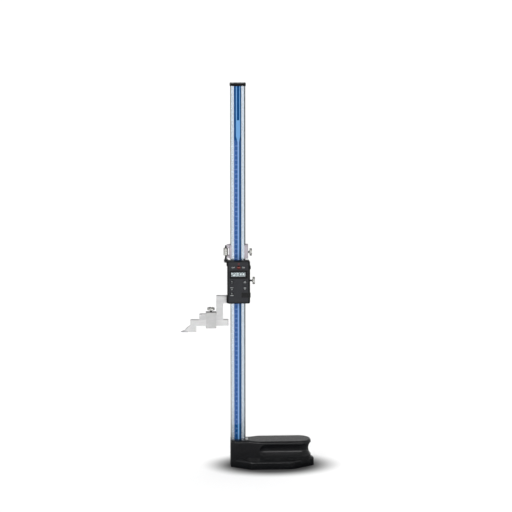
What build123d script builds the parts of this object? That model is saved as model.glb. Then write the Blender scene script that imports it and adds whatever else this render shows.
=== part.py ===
"""Digital height gauge, 600 mm, as separate pieces.

Millimetres. +Z is up the column, -Y is the side that the user reads, and the jaw points along -X.
The origin is on the ground underside of the base, straight below the centre of the column. The gauge
is drawn with its slider part of the way up the column, and the scriber's edge at height reading_z.
"""

import os

from build123d import *

# ---- Base casting
base_length_right = 162.0  # from the column's axis to the far end of the flange
base_half_width = 43.0
nose_x = -16.0  # the narrow end, flush with the column's left edge
nose_half = 15.0
flare_x = 26.0  # where the nose has flared to the full width
shoulder_x = 115.0  # where the far corners start to turn in
end_half = 8.0
flange_height = 17.5
flange_edge_round = 4.0
flange_radii = (2, 8, 30, 10, 10, 30, 8, 2)  # at the outline's corners, from the nose round
plate_z = 57.5  # top of the hand grip
boss_top_z = 57.9
boss_half_width = 21.5
boss_right_x = 24.0
grip_half_width = 29.5
grip_end_x = 155.5
grip_start_x = 43.0
grip_corner_radius = 27.0
grip_edge_round = 4.0
cove_radius = 19.8
cove_out = 14.5  # the cutter's centre stands this far outside the grip
cove_z = 37.5
cove_run_out_x = 58.0
relief_depth = 2.5
relief_rim = 11.0  # width of the ground rim round the relief
relief_corner_radius = 8.0

# ---- Column
column_width = 31.6
column_thickness = 11.0
column_foot_z = 26.0
column_top_z = 818.5
column_chamfer = 0.9
strip_left = -8.2
strip_right = 7.4
strip_thickness = 0.3
strip_bottom_z = 58.0
wedge_right = 21.2
wedge_top_z = 61.0
wedge_foot_z = 30.0
cap_width = 33.6
cap_depth = 16.0
cap_height = 6.0
cap_corner_radius = 1.5
cap_chamfer = 0.7
cap_screw_x = 10.0
cap_screw_radius = 1.25
cap_screw_head = 3.0
cap_screw_length = 14.0
screw_hole_gap = 0.05

# ---- Sliding clearances
slide_gap = 0.08  # between the column and what runs on it
seat_gap = 0.05  # between fitted pieces
panel_gap = 0.1  # between moulded pieces
gib_play = 0.04  # between a gib and the column

# ---- Slider
frame_left = -21.4
frame_right = 24.0
frame_front = -7.0
frame_bottom = 354.5
frame_top = 446.0
lip_inner = 13.5  # half the width of the window that the scale is read through
bridge_height = 8.0  # the window's frame, above and below
back_plate_thickness = 4.0
arm_half_thickness = 5.0
arm_left = -45.8
arm_top = 370.6
post_right = -31.4  # inner side of the vertical leg
jaw_left = -81.8
jaw_top = 331.2
jaw_bottom = 318.9
lock_z = 402.4
gib_thickness = 2.6
gib_half_depth = 4.5
gib_bottom = 365.0
gib_top = 435.0
gib_back_room = 0.5

# ---- Display housing
case_left = -23.0
case_right = 25.0
case_bottom = 356.6
case_top = 448.0
case_front = -20.5
case_wall = 2.0
case_front_wall = 1.4
case_corner = 3.5
face_left = -20.6
face_right = 21.3
face_bottom = 359.2
face_top = 446.2
face_thickness = 0.8
window_left = -17.9
window_right = 19.5
window_bottom = 410.5
window_top = 428.1
glass_left = -15.1
glass_right = 16.7
glass_bottom = 413.1
glass_top = 425.6
key_rows = (403.0, 389.9, 376.8)
left_key_x = -13.6
right_key_x = 14.0
left_key_size = (8.4, 7.0)
right_key_size = (7.6, 7.0)
power_x = 0.9
power_z = 434.2
power_radius = 4.1
key_proud = 0.6
key_travel = 0.8
key_flange = 0.8  # thickness of the flange behind the wall
key_flange_width = 0.7
key_edge_round = 0.35
key_stem_radius = 1.2
key_gap = 0.15
board_front = -14.4
board_thickness = 1.6
battery_x = 14.4
battery_z = 375.0
battery_radius = 5.8
battery_thickness = 5.4
battery_bore_gap = 0.15
tube_wall = 1.4
door_left = 6.6
door_right = 26.1
door_half_height = 5.4
door_thickness = 1.6

# ---- Fine adjustment
carriage_bottom = 450.9
carriage_top = 480.0
carriage_right = 21.5
carriage_left = -23.3
wing_bottom = 452.5
carriage_back_thickness = 3.5
carriage_wall = 2.3  # left of the column, behind the nut
nut_bottom = 457.4
nut_top = 473.4
nut_radius = 5.0
notch_right = -18.2
rod_x = -25.5
rod_y = -1.0
rod_radius = 1.95
rod_top = 479.0
rod_eye_z = 446.0
rod_eye_radius = 3.5
tab_left = -29.6
tab_bottom = 440.5
tab_top = 449.4
ear_front = 1.0
carriage_lock_z = 463.9
carriage_gib_half = 9.0
carriage_gib_half_depth = 4.0
carriage_gib_thickness = 2.2

# ---- Thumb screws, three alike
knob_radius = 7.9
knob_thickness = 5.0
stem_radius = 1.9
flute_count = 30
flute_radius = 0.55
knob_rim = 2.4  # width of the ring round the turned recess
knob_recess = 0.8
collar_width = 1.6
collar_height = 0.9
tip_gap = 0.01  # between a lock screw's tip and its gib

# ---- Scriber and its clamp
reading_z = 293.0  # the scriber's edge above the surface plate
scriber_tip_x = -121.5
scriber_tail_x = -20.5
scriber_half_thickness = 4.5
scriber_bottom = 305.9
scriber_neck_x = -100.9
heel_x = -88.4
clamp_left = -67.8
clamp_right = -46.4
clamp_bottom = 301.5
clamp_top = 335.4
clamp_half_depth = 8.2
clamp_knob_z = 339.6

half_width = column_width / 2
half_thickness = column_thickness / 2
channel_side = half_width + slide_gap
channel_front = -half_thickness - slide_gap
frame_rear = half_thickness + slide_gap
clamp_x = (clamp_left + clamp_right) / 2

os.makedirs("parts", exist_ok=True)


def save(piece, name):
    """Labels a finished piece and writes it as parts/name.step."""
    piece.part.label = name
    export_step(piece.part, f"parts/{name}.step")


def block(x0, x1, y0, y1, z0, z1, mode=Mode.ADD):
    """A box between two corners."""
    with Locations(((x0 + x1) / 2, (y0 + y1) / 2, (z0 + z1) / 2)):
        Box(x1 - x0, y1 - y0, z1 - z0, mode=mode)


def facing_user(y):
    """A plane at depth y whose sketch X and Y are the gauge's X and Z, and whose normal is -Y."""
    return Plane(origin=(0, y, 0), x_dir=(1, 0, 0), z_dir=(0, -1, 0))


def facing_back(y):
    """The same seen from behind: sketch X runs along -X, and the normal is +Y."""
    return Plane(origin=(0, y, 0), x_dir=(-1, 0, 0), z_dir=(0, 1, 0))


def facing_right(x):
    """A plane at x whose sketch X and Y are the gauge's Y and Z, and whose normal is +X."""
    return Plane(origin=(x, 0, 0), x_dir=(0, 1, 0), z_dir=(1, 0, 0))


# ---------------------------------------------------------------------------------------------
# Base: a grey iron casting. A hand grip with a cove round three sides stands on a wide flange.
# ---------------------------------------------------------------------------------------------
flange_points = [
    (nose_x, -nose_half),
    (flare_x, -base_half_width),
    (shoulder_x, -base_half_width),
    (base_length_right, -end_half),
    (base_length_right, end_half),
    (shoulder_x, base_half_width),
    (flare_x, base_half_width),
    (nose_x, nose_half),
]

# The boss's corners lie over the flange's own slanting sides.
boss_corner_x = nose_x + (boss_half_width - nose_half) * (flare_x - nose_x) / (
    base_half_width - nose_half
)
grip_points = [
    (nose_x, -nose_half),
    (boss_corner_x, -boss_half_width),
    (boss_right_x, -boss_half_width),
    (grip_start_x, -grip_half_width),
    (grip_end_x, -grip_half_width),
    (grip_end_x, grip_half_width),
    (grip_start_x, grip_half_width),
    (boss_right_x, boss_half_width),
    (boss_corner_x, boss_half_width),
    (nose_x, nose_half),
]
grip_radii = [2, 3, 10, 14, grip_corner_radius, grip_corner_radius, 14, 10, 3, 2]

cove_side = grip_half_width + cove_out
cove_end = grip_end_x + cove_out

socket_screw_z = (35.0, 48.0)
socket_screw_radius = 2.5
socket_head_radius = 4.4
socket_head_depth = 5.5
socket_head_inset = 0.5
socket_hexagon = 2.4
socket_hexagon_depth = 3.0

with BuildPart() as base:
    with BuildSketch():
        with BuildLine():
            FilletPolyline(*flange_points, radius=flange_radii, close=True)
        make_face()
    extrude(amount=flange_height)
    fillet(base.edges().group_by(Axis.Z)[-1], radius=flange_edge_round)
    with BuildSketch(Plane.XY.offset(flange_height / 2)):
        with BuildLine():
            FilletPolyline(*grip_points, radius=grip_radii, close=True)
        make_face()
    extrude(amount=plate_z - flange_height / 2)
    top_face = base.faces().sort_by(Axis.Z)[-1]
    grip_edges = top_face.edges().filter_by(lambda e: e.center().X > boss_right_x)
    fillet(grip_edges, radius=grip_edge_round)
    # The cove is the path of a ball-ended cutter round the grip.
    with BuildLine(Plane.XY.offset(cove_z)) as cove_path:
        FilletPolyline(
            (cove_run_out_x, -cove_side),
            (cove_end, -cove_side),
            (cove_end, cove_side),
            (cove_run_out_x, cove_side),
            radius=grip_corner_radius + cove_out,
        )
    with BuildSketch(Plane(origin=(cove_run_out_x, -cove_side, cove_z), z_dir=(1, 0, 0))):
        Circle(cove_radius)
    sweep(path=cove_path.wires()[0], mode=Mode.SUBTRACT)
    with Locations((cove_run_out_x, -cove_side, cove_z), (cove_run_out_x, cove_side, cove_z)):
        Sphere(cove_radius, mode=Mode.SUBTRACT)
    # Boss pad, with the socket that the column's foot and its wedge stand in.
    block(nose_x, boss_right_x, -nose_half, nose_half, plate_z - 1, boss_top_z)
    block(
        -half_width - seat_gap, wedge_right + seat_gap,
        -half_thickness - seat_gap, half_thickness + seat_gap,
        column_foot_z, boss_top_z,
        mode=Mode.SUBTRACT,
    )  # fmt: skip
    with BuildSketch(facing_back(boss_half_width)):
        with Locations(*[(0, z) for z in socket_screw_z]):
            Circle(socket_screw_radius + seat_gap)
    extrude(amount=-(boss_half_width - half_thickness), mode=Mode.SUBTRACT)
    with BuildSketch(facing_back(boss_half_width)):
        with Locations(*[(0, z) for z in socket_screw_z]):
            Circle(socket_head_radius + seat_gap)
    extrude(amount=-socket_head_depth, mode=Mode.SUBTRACT)
    # The underside is relieved inside a ground rim.
    with BuildSketch():
        with BuildLine():
            FilletPolyline(
                (flare_x + relief_rim, -base_half_width + relief_rim),
                (shoulder_x - relief_rim / 2, -base_half_width + relief_rim),
                (base_length_right - relief_rim, -end_half),
                (base_length_right - relief_rim, end_half),
                (shoulder_x - relief_rim / 2, base_half_width - relief_rim),
                (flare_x + relief_rim, base_half_width - relief_rim),
                radius=relief_corner_radius,
                close=True,
            )
        make_face()
    extrude(amount=relief_depth, mode=Mode.SUBTRACT)
save(base, "base")

with BuildPart() as base_screws:
    with BuildSketch(facing_back(boss_half_width - socket_head_depth)):
        with Locations(*[(0, z) for z in socket_screw_z]):
            Circle(socket_head_radius)
    extrude(amount=socket_head_depth - socket_head_inset)
    with BuildSketch(facing_back(boss_half_width - socket_head_inset)):
        with Locations(*[(0, z) for z in socket_screw_z]):
            RegularPolygon(radius=socket_hexagon, side_count=6)
    extrude(amount=-socket_hexagon_depth, mode=Mode.SUBTRACT)
    with BuildSketch(facing_back(boss_half_width - socket_head_depth)):
        with Locations(*[(0, z) for z in socket_screw_z]):
            Circle(socket_screw_radius)
    extrude(amount=-(boss_half_width - socket_head_depth - half_thickness))
save(base_screws, "column_clamp_screws")

with BuildPart() as wedge:
    block(half_width, wedge_right, -half_thickness, half_thickness, wedge_foot_z, wedge_top_z)
    chamfer(wedge.edges().group_by(Axis.Z)[-1], length=0.6)
    chamfer(wedge.edges().group_by(Axis.Z)[0], length=1.2)
save(wedge, "column_wedge")

# ---------------------------------------------------------------------------------------------
# Column: a ground stainless beam with a shallow bed for the scale strip.
# ---------------------------------------------------------------------------------------------
with BuildPart() as column:
    with BuildSketch(Plane.XY.offset(column_foot_z)):
        Rectangle(column_width, column_thickness)
        chamfer(vertices(), length=column_chamfer)
    extrude(amount=column_top_z - column_foot_z)
    block(
        strip_left - seat_gap, strip_right + seat_gap,
        -half_thickness, -half_thickness + strip_thickness,
        strip_bottom_z, column_top_z,
        mode=Mode.SUBTRACT,
    )  # fmt: skip
    with Locations(Plane.XY.offset(column_top_z)):
        with Locations((-cap_screw_x, 0), (cap_screw_x, 0)):
            Hole(radius=cap_screw_radius + screw_hole_gap, depth=cap_screw_length - 2)
save(column, "column")

with BuildPart() as strip:
    block(
        strip_left, strip_right,
        -half_thickness, -half_thickness + strip_thickness,
        strip_bottom_z, column_top_z,
    )  # fmt: skip
save(strip, "scale_strip")

with BuildPart() as cap:
    with BuildSketch(Plane.XY.offset(column_top_z)):
        RectangleRounded(cap_width, cap_depth, radius=cap_corner_radius)
    extrude(amount=cap_height)
    chamfer(cap.faces().sort_by(Axis.Z)[-1].edges(), length=cap_chamfer)
    with Locations(Plane.XY.offset(column_top_z + cap_height)):
        with Locations((-cap_screw_x, 0), (cap_screw_x, 0)):
            CounterSinkHole(
                radius=cap_screw_radius + 0.35, counter_sink_radius=cap_screw_head + panel_gap
            )
save(cap, "column_cap")


def countersunk_screws(name, plane, points, head_radius, shank_radius, length, socket=0.9):
    """A set of countersunk screws with hexagon sockets, heads flush with the plane."""
    cone = head_radius - shank_radius
    with BuildPart() as screws:
        for x, y in points:
            seat = plane.shift_origin(plane.from_local_coords((x, y, 0)))
            with BuildSketch(Plane(origin=seat.origin, x_dir=seat.x_dir, z_dir=-seat.y_dir)):
                with BuildLine():
                    Polyline(
                        (0, 0),
                        (head_radius, 0),
                        (shank_radius, -cone),
                        (shank_radius, -length),
                        (0, -length),
                        close=True,
                    )
                make_face()
            revolve(axis=Axis(seat.origin, seat.z_dir))
            with BuildSketch(seat):
                RegularPolygon(radius=socket, side_count=6)
            extrude(amount=-head_radius / 2, mode=Mode.SUBTRACT)
    save(screws, name)


countersunk_screws(
    "cap_screws",
    Plane.XY.offset(column_top_z + cap_height),
    [(-cap_screw_x, 0), (cap_screw_x, 0)],
    head_radius=cap_screw_head, shank_radius=cap_screw_radius, length=cap_screw_length,
)  # fmt: skip

# ---------------------------------------------------------------------------------------------
# Slider: a steel block with a channel for the column, and the arm and jaw in one piece with it.
# ---------------------------------------------------------------------------------------------
pocket_x = channel_side + gib_thickness + gib_back_room
rail_screw_x = (-18.6, 21.4)
rail_screw_z = (361.0, 400.0, 439.0)
gib_screw_z = (378.0, 427.0)
gib_screw_radius = 1.5
gib_screw_hexagon = 0.85
rail_screw_radius = 1.25
rail_screw_head = 2.75
case_screw_x = (-17.6, 18.6)
case_screw_z = (363.0, 442.4)
case_screw_radius = 1.0
case_thread_depth = 4.5
pivot_screw_radius = 1.25

with BuildPart() as frame:
    block(frame_left, frame_right, frame_front, frame_rear, frame_bottom, frame_top)
    chamfer(frame.edges().filter_by(Axis.Z).group_by(Axis.X)[0].group_by(Axis.Y)[0], length=0.8)
    block(
        -channel_side, channel_side, channel_front, frame_rear, frame_bottom, frame_top,
        mode=Mode.SUBTRACT,
    )  # fmt: skip
    block(
        -lip_inner, lip_inner, frame_front, channel_front,
        frame_bottom + bridge_height, frame_top - bridge_height,
        mode=Mode.SUBTRACT,
    )  # fmt: skip
    gib_room = gib_half_depth + seat_gap
    block(
        channel_side, pocket_x, -gib_room, gib_room, gib_bottom - seat_gap, gib_top + seat_gap,
        mode=Mode.SUBTRACT,
    )  # fmt: skip
    # Arm, vertical leg and jaw bar, one outline.
    with BuildSketch(facing_user(arm_half_thickness)):
        with BuildLine():
            FilletPolyline(
                (frame_left + 1, frame_bottom),
                (post_right, frame_bottom),
                (post_right, jaw_bottom),
                (jaw_left, jaw_bottom),
                (jaw_left, jaw_top),
                (arm_left, jaw_top),
                (arm_left, arm_top),
                (frame_left + 1, arm_top),
                radius=[0.3, 2.0, 0.6, 2.0, 2.0, 1.0, 1.2, 0.3],
                close=True,
            )
        make_face()
    extrude(amount=2 * arm_half_thickness)
    # Ear that carries the fine adjustment screw.
    with BuildSketch(facing_user(frame_rear)):
        with Locations(((tab_left + frame_left + 1) / 2, (tab_bottom + tab_top) / 2)):
            RectangleRounded(frame_left + 1 - tab_left, tab_top - tab_bottom, radius=2)
    extrude(amount=frame_rear - ear_front)
    with BuildSketch(facing_user(frame_rear)):
        with Locations((rod_x, rod_eye_z)):
            Circle(pivot_screw_radius + seat_gap)
    extrude(amount=frame_rear, mode=Mode.SUBTRACT)
    # Tapped holes: lock screw and gib screws in the right rail, cover screws and case screws.
    with BuildSketch(facing_right(frame_right)):
        with Locations((0, lock_z)):
            Circle(stem_radius + seat_gap)
        with Locations(*[(0, z) for z in gib_screw_z]):
            Circle(gib_screw_radius + seat_gap)
    extrude(amount=pocket_x - frame_right, mode=Mode.SUBTRACT)
    with BuildSketch(facing_back(frame_rear)):
        with Locations(*[(-x, z) for x in rail_screw_x for z in rail_screw_z]):
            Circle(rail_screw_radius + screw_hole_gap)
    extrude(amount=-4, mode=Mode.SUBTRACT)
    with BuildSketch(facing_user(frame_front)):
        with Locations(*[(x, z) for x in case_screw_x for z in case_screw_z]):
            Circle(case_screw_radius + screw_hole_gap)
    extrude(amount=-case_thread_depth, mode=Mode.SUBTRACT)
save(frame, "slider_frame")

with BuildPart() as back_plate:
    with BuildSketch(facing_back(frame_rear)):
        with Locations((-(frame_left + frame_right) / 2, (frame_bottom + frame_top) / 2)):
            RectangleRounded(frame_right - frame_left, frame_top - frame_bottom, radius=1.5)
    extrude(amount=back_plate_thickness)
    chamfer(back_plate.faces().sort_by(Axis.Y)[-1].edges(), length=0.5)
    with Locations(facing_back(frame_rear + back_plate_thickness)):
        with Locations(*[(-x, z) for x in rail_screw_x for z in rail_screw_z]):
            CounterSinkHole(
                radius=rail_screw_radius + 0.15, counter_sink_radius=rail_screw_head + panel_gap
            )
save(back_plate, "slider_back_plate")

countersunk_screws(
    "back_plate_screws",
    facing_back(frame_rear + back_plate_thickness),
    [(-x, z) for x in rail_screw_x for z in rail_screw_z],
    head_radius=rail_screw_head, shank_radius=rail_screw_radius,
    length=back_plate_thickness + 3.5,
)  # fmt: skip

gib_face = channel_side - gib_play + gib_thickness
with BuildPart() as gib:
    block(
        channel_side - gib_play, gib_face,
        -gib_half_depth, gib_half_depth, gib_bottom, gib_top,
    )  # fmt: skip
    chamfer(gib.edges().filter_by(Axis.Y), length=0.5)
save(gib, "slider_gib")

gib_screw_end = frame_right - 0.2
with BuildPart() as gib_screws:
    with BuildSketch(facing_right(gib_screw_end)):
        with Locations(*[(0, z) for z in gib_screw_z]):
            Circle(gib_screw_radius)
    extrude(amount=-(gib_screw_end - pocket_x))
    with BuildSketch(facing_right(gib_screw_end)):
        with Locations(*[(0, z) for z in gib_screw_z]):
            RegularPolygon(radius=gib_screw_hexagon, side_count=6)
    extrude(amount=-2, mode=Mode.SUBTRACT)
save(gib_screws, "gib_screws")


def thumb_screw(name, plane, length, knob_at):
    """A knurled thumb screw. Its tip is on the plane, and its stem runs along the normal to the knob."""
    with BuildPart() as screw:
        with BuildSketch(plane):
            Circle(stem_radius)
        extrude(amount=length)
        with BuildSketch(plane.offset(knob_at)):
            Circle(knob_radius)
            with PolarLocations(knob_radius, flute_count):
                Circle(flute_radius, mode=Mode.SUBTRACT)
        extrude(amount=knob_thickness)
        # A turned recess in the outer face, and a low collar under the knob.
        with BuildSketch(plane.offset(knob_at + knob_thickness)):
            Circle(knob_radius - knob_rim)
        extrude(amount=-knob_recess, taper=30, mode=Mode.SUBTRACT)
        with BuildSketch(plane.offset(knob_at)):
            Circle(stem_radius + collar_width)
        extrude(amount=-collar_height)
    save(screw, name)


slider_knob_x = 31.0
thumb_screw(
    "slider_lock_screw",
    facing_right(gib_face + tip_gap).shift_origin((gib_face + tip_gap, 0, lock_z)),
    length=slider_knob_x + 1 - gib_face,
    knob_at=slider_knob_x - gib_face,
)

# ---------------------------------------------------------------------------------------------
# Display: a moulded case with a face plate, window, keys, boards and a battery behind a door.
# ---------------------------------------------------------------------------------------------
case_centre = ((case_left + case_right) / 2, (case_bottom + case_top) / 2)
case_size = (case_right - case_left, case_top - case_bottom)
wall_front = case_front + face_thickness + panel_gap  # the wall under the face plate
wall_rear = wall_front + case_front_wall
keys = {
    "mode_key": (left_key_x, key_rows[0], left_key_size),
    "units_key": (left_key_x, key_rows[1], left_key_size),
    "zero_key": (left_key_x, key_rows[2], left_key_size),
    "up_key": (right_key_x, key_rows[0], right_key_size),
    "down_key": (right_key_x, key_rows[1], right_key_size),
}
key_round = 1.6
door_rear = case_front + door_thickness
tube_floor = -13.0
contact_thickness = 0.4
thumb_pads = ((case_left, 442.0, 11.0), (case_left, 365.5, 16.0), (case_right, 433.5, 7.0))
pad_width = 3.0  # half of it stands off the side of the case
pad_setback = 2.5
case_edge_round = 1.0
post_radius = 2.6
case_screw_head = 1.9
peg_radius = 1.5
peg_z = (398.0, 384.0, 371.0)
tube_step = 1.0  # the tube's rim stands this far behind its floor


def key_openings(gap):
    """Sketches the openings for every key, larger than the key by a gap all round."""
    for x, z, (width, height) in keys.values():
        with Locations((x, z)):
            RectangleRounded(width + 2 * gap, height + 2 * gap, radius=key_round + gap)
    with Locations((power_x, power_z)):
        Circle(power_radius + gap)


def rectangle_between(x0, x1, z0, z1):
    """Sketches a rectangle between two corners."""
    with Locations(((x0 + x1) / 2, (z0 + z1) / 2)):
        Rectangle(x1 - x0, z1 - z0)


with BuildPart() as case:
    with BuildSketch(facing_user(frame_front)):
        with Locations(case_centre):
            RectangleRounded(*case_size, radius=case_corner)
    extrude(amount=frame_front - case_front)
    fillet(case.faces().sort_by(Axis.Y)[0].edges(), radius=case_edge_round)
    # Thumb pads on the long sides.
    with BuildSketch(facing_user(frame_front)):
        for x, z, height in thumb_pads:
            with Locations((x, z)):
                RectangleRounded(pad_width, height, radius=pad_width / 2 - 0.1)
    extrude(amount=frame_front - case_front - pad_setback)
    # Inside, open at the back.
    with BuildSketch(facing_user(frame_front)):
        with Locations(case_centre):
            RectangleRounded(
                case_size[0] - 2 * case_wall, case_size[1] - 2 * case_wall, radius=case_corner - 1
            )
    extrude(amount=frame_front - wall_rear, mode=Mode.SUBTRACT)
    # Screw posts, board pegs and the battery tube stand on the inside of the front wall.
    with BuildSketch(facing_user(frame_front)):
        with Locations(*[(x, z) for x in case_screw_x for z in case_screw_z]):
            Circle(post_radius)
    extrude(amount=frame_front - wall_rear)
    with BuildSketch(facing_user(board_front)):
        with Locations(*[(power_x, z) for z in peg_z]):
            Circle(peg_radius)
    extrude(amount=board_front - wall_rear)
    with BuildSketch(facing_user(tube_floor + tube_step)):
        with Locations((battery_x, battery_z)):
            Circle(battery_radius + tube_wall)
    extrude(amount=tube_floor + tube_step - wall_rear)
    # Bed of the face plate.
    with BuildSketch(facing_user(case_front)):
        rectangle_between(face_left, face_right, face_bottom, face_top)
    extrude(amount=case_front - wall_front, mode=Mode.SUBTRACT)
    # Openings for the display and the keys.
    with BuildSketch(facing_user(wall_rear)):
        rectangle_between(glass_left, glass_right, glass_bottom, glass_top)
        key_openings(key_gap)
    extrude(amount=case_front_wall, mode=Mode.SUBTRACT)
    # Channel of the battery door, open at the right, and the tube for the cell.
    with BuildSketch(facing_user(door_rear + seat_gap)):
        rectangle_between(
            door_left - seat_gap,
            door_right,
            battery_z - door_half_height - panel_gap,
            battery_z + door_half_height + panel_gap,
        )
    extrude(amount=door_rear + seat_gap - case_front, mode=Mode.SUBTRACT)
    with BuildSketch(facing_user(tube_floor)):
        with Locations((battery_x, battery_z)):
            Circle(battery_radius + battery_bore_gap)
    extrude(amount=tube_floor - door_rear, mode=Mode.SUBTRACT)
    # Case screws, with their heads sunk under the face plate.
    with BuildSketch(facing_user(frame_front)):
        with Locations(*[(x, z) for x in case_screw_x for z in case_screw_z]):
            Circle(case_screw_radius + screw_hole_gap)
    extrude(amount=frame_front - wall_front, mode=Mode.SUBTRACT)
    with BuildSketch(facing_user(wall_rear)):
        with Locations(*[(x, z) for x in case_screw_x for z in case_screw_z]):
            Circle(case_screw_head + panel_gap)
    extrude(amount=wall_rear - wall_front, mode=Mode.SUBTRACT)
save(case, "display_housing")

cross_slot = (2.4, 0.5, 0.7)  # length, width and depth
case_screw_top = wall_front + panel_gap

with BuildPart() as case_screws:
    with BuildSketch(facing_user(wall_rear)):
        with Locations(*[(x, z) for x in case_screw_x for z in case_screw_z]):
            Circle(case_screw_head)
    extrude(amount=wall_rear - case_screw_top)
    with BuildSketch(facing_user(case_screw_top)):
        with Locations(*[(x, z) for x in case_screw_x for z in case_screw_z]):
            Rectangle(cross_slot[0], cross_slot[1])
            Rectangle(cross_slot[1], cross_slot[0])
    extrude(amount=-cross_slot[2], mode=Mode.SUBTRACT)
    with BuildSketch(facing_user(wall_rear)):
        with Locations(*[(x, z) for x in case_screw_x for z in case_screw_z]):
            Circle(case_screw_radius)
    extrude(amount=wall_rear - frame_front - 4.0)
save(case_screws, "housing_screws")

window_centre = ((window_left + window_right) / 2, (window_bottom + window_top) / 2)
window_size = (window_right - window_left, window_top - window_bottom)
window_corner = 1.0

with BuildPart() as face_plate:
    with BuildSketch(facing_user(wall_front)):
        rectangle_between(
            face_left + panel_gap, face_right - panel_gap, face_bottom + panel_gap, face_top - panel_gap
        )
        with Locations(window_centre):
            RectangleRounded(*window_size, radius=window_corner, mode=Mode.SUBTRACT)
        with Locations(((door_left + face_right) / 2, battery_z)):
            Rectangle(
                face_right - door_left + 2 * seat_gap,
                2 * (door_half_height + panel_gap),
                mode=Mode.SUBTRACT,
            )
    extrude(amount=face_thickness)
    with BuildSketch(facing_user(wall_front)):
        key_openings(key_gap)
    extrude(amount=face_thickness, mode=Mode.SUBTRACT)
save(face_plate, "face_plate")

with BuildPart() as bezel:
    with BuildSketch(facing_user(wall_front)):
        with Locations(window_centre):
            RectangleRounded(
                window_size[0] - panel_gap, window_size[1] - panel_gap, radius=window_corner - seat_gap
            )
        with Locations(((glass_left + glass_right) / 2, (glass_bottom + glass_top) / 2)):
            Rectangle(glass_right - glass_left, glass_top - glass_bottom, mode=Mode.SUBTRACT)
    extrude(amount=face_thickness + 0.2)
    chamfer(bezel.faces().sort_by(Axis.Y)[0].inner_wires()[0].edges(), length=0.4)
save(bezel, "display_bezel")

with BuildPart() as window:
    with BuildSketch(facing_user(wall_front + 0.5)):
        rectangle_between(
            glass_left + seat_gap, glass_right - seat_gap, glass_bottom + seat_gap, glass_top - seat_gap
        )
    extrude(amount=1.0)
save(window, "display_window")

panel_margin = 1.4  # the glass cell is larger than its window
strip_height = 1.0  # conductive strips between the cell and the board
with BuildPart() as panel:
    with BuildSketch(facing_user(board_front - strip_height)):
        rectangle_between(
            glass_left - panel_margin, glass_right + panel_margin,
            glass_bottom - panel_margin, glass_top + panel_margin,
        )  # fmt: skip
    extrude(amount=board_front - strip_height - wall_rear)
save(panel, "lcd_panel")

with BuildPart() as contacts:
    for z in (glass_bottom - panel_margin + 1, glass_top + panel_margin - 1):
        block(glass_left, glass_right, board_front - strip_height, board_front, z - 0.8, z + 0.8)
save(contacts, "lcd_contact_strips")

board_left = case_left + case_wall + 0.4
board_right = case_right - case_wall - 0.4
board_bottom = 366.2
board_top = 439.4
board_notch_left = 6.3  # the board is cut away round the cell
board_notch_top = battery_z + battery_radius + 2.6
with BuildPart() as display_board:
    with BuildSketch(facing_user(board_front + board_thickness)):
        rectangle_between(board_left, board_right, board_bottom, board_top)
        with Locations((board_right, board_bottom)):
            Rectangle(
                2 * (board_right - board_notch_left),
                2 * (board_notch_top - board_bottom),
                mode=Mode.SUBTRACT,
            )
    extrude(amount=board_thickness)
save(display_board, "display_board")

dome_height = 0.7
dome_radius = 2.2
with BuildPart() as domes:
    for x, z in [(k[0], k[1]) for k in keys.values()] + [(power_x, power_z)]:
        with BuildSketch(facing_user(board_front)):
            with Locations((x, z)):
                Circle(dome_radius)
        extrude(amount=dome_height, taper=35)
save(domes, "switch_domes")

sensor_half_width = 14.8
sensor_bottom = 369.0
sensor_top = 437.0
with BuildPart() as sensor_board:
    block(
        -sensor_half_width, sensor_half_width, frame_front - board_thickness, frame_front,
        sensor_bottom, sensor_top,
    )  # fmt: skip
save(sensor_board, "sensor_board")

cell_step = 0.4  # the raised negative face
cell_back = tube_floor - contact_thickness - 0.05
with BuildPart() as battery:
    with BuildSketch(facing_user(cell_back)):
        with Locations((battery_x, battery_z)):
            Circle(battery_radius)
    extrude(amount=battery_thickness - cell_step)
    fillet(battery.faces().sort_by(Axis.Y)[-1].edges(), radius=0.4)
    with BuildSketch(facing_user(cell_back - battery_thickness + cell_step)):
        with Locations((battery_x, battery_z)):
            Circle(battery_radius - 0.8)
    extrude(amount=cell_step)
save(battery, "battery")

contact_radius = 3.0
with BuildPart() as spring_contact:
    with BuildSketch(facing_user(tube_floor)):
        with Locations((battery_x, battery_z)):
            Circle(contact_radius)
            Circle(contact_radius - 1.2, mode=Mode.SUBTRACT)
            with Locations((-contact_radius, 0)):
                Rectangle(contact_radius, 1.6)
    extrude(amount=contact_thickness)
save(spring_contact, "battery_contact")

rib_count = 4
rib_pitch = 1.3
rib_size = (0.55, 7.0)
rib_height = 0.35
with BuildPart() as door:
    with BuildSketch(facing_user(door_rear)):
        rectangle_between(
            door_left, case_right + panel_gap, battery_z - door_half_height, battery_z + door_half_height
        )
        with Locations((door_right - pad_width / 2, battery_z)):
            RectangleRounded(pad_width, 2 * door_half_height, radius=1.3)
    extrude(amount=door_thickness - seat_gap)
    # Grip ribs for the thumb.
    with BuildSketch(facing_user(case_front + seat_gap)):
        with Locations(*[(case_right - 3 - rib_pitch * i, battery_z) for i in range(rib_count)]):
            Rectangle(*rib_size)
    extrude(amount=rib_height)
save(door, "battery_door")


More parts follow.
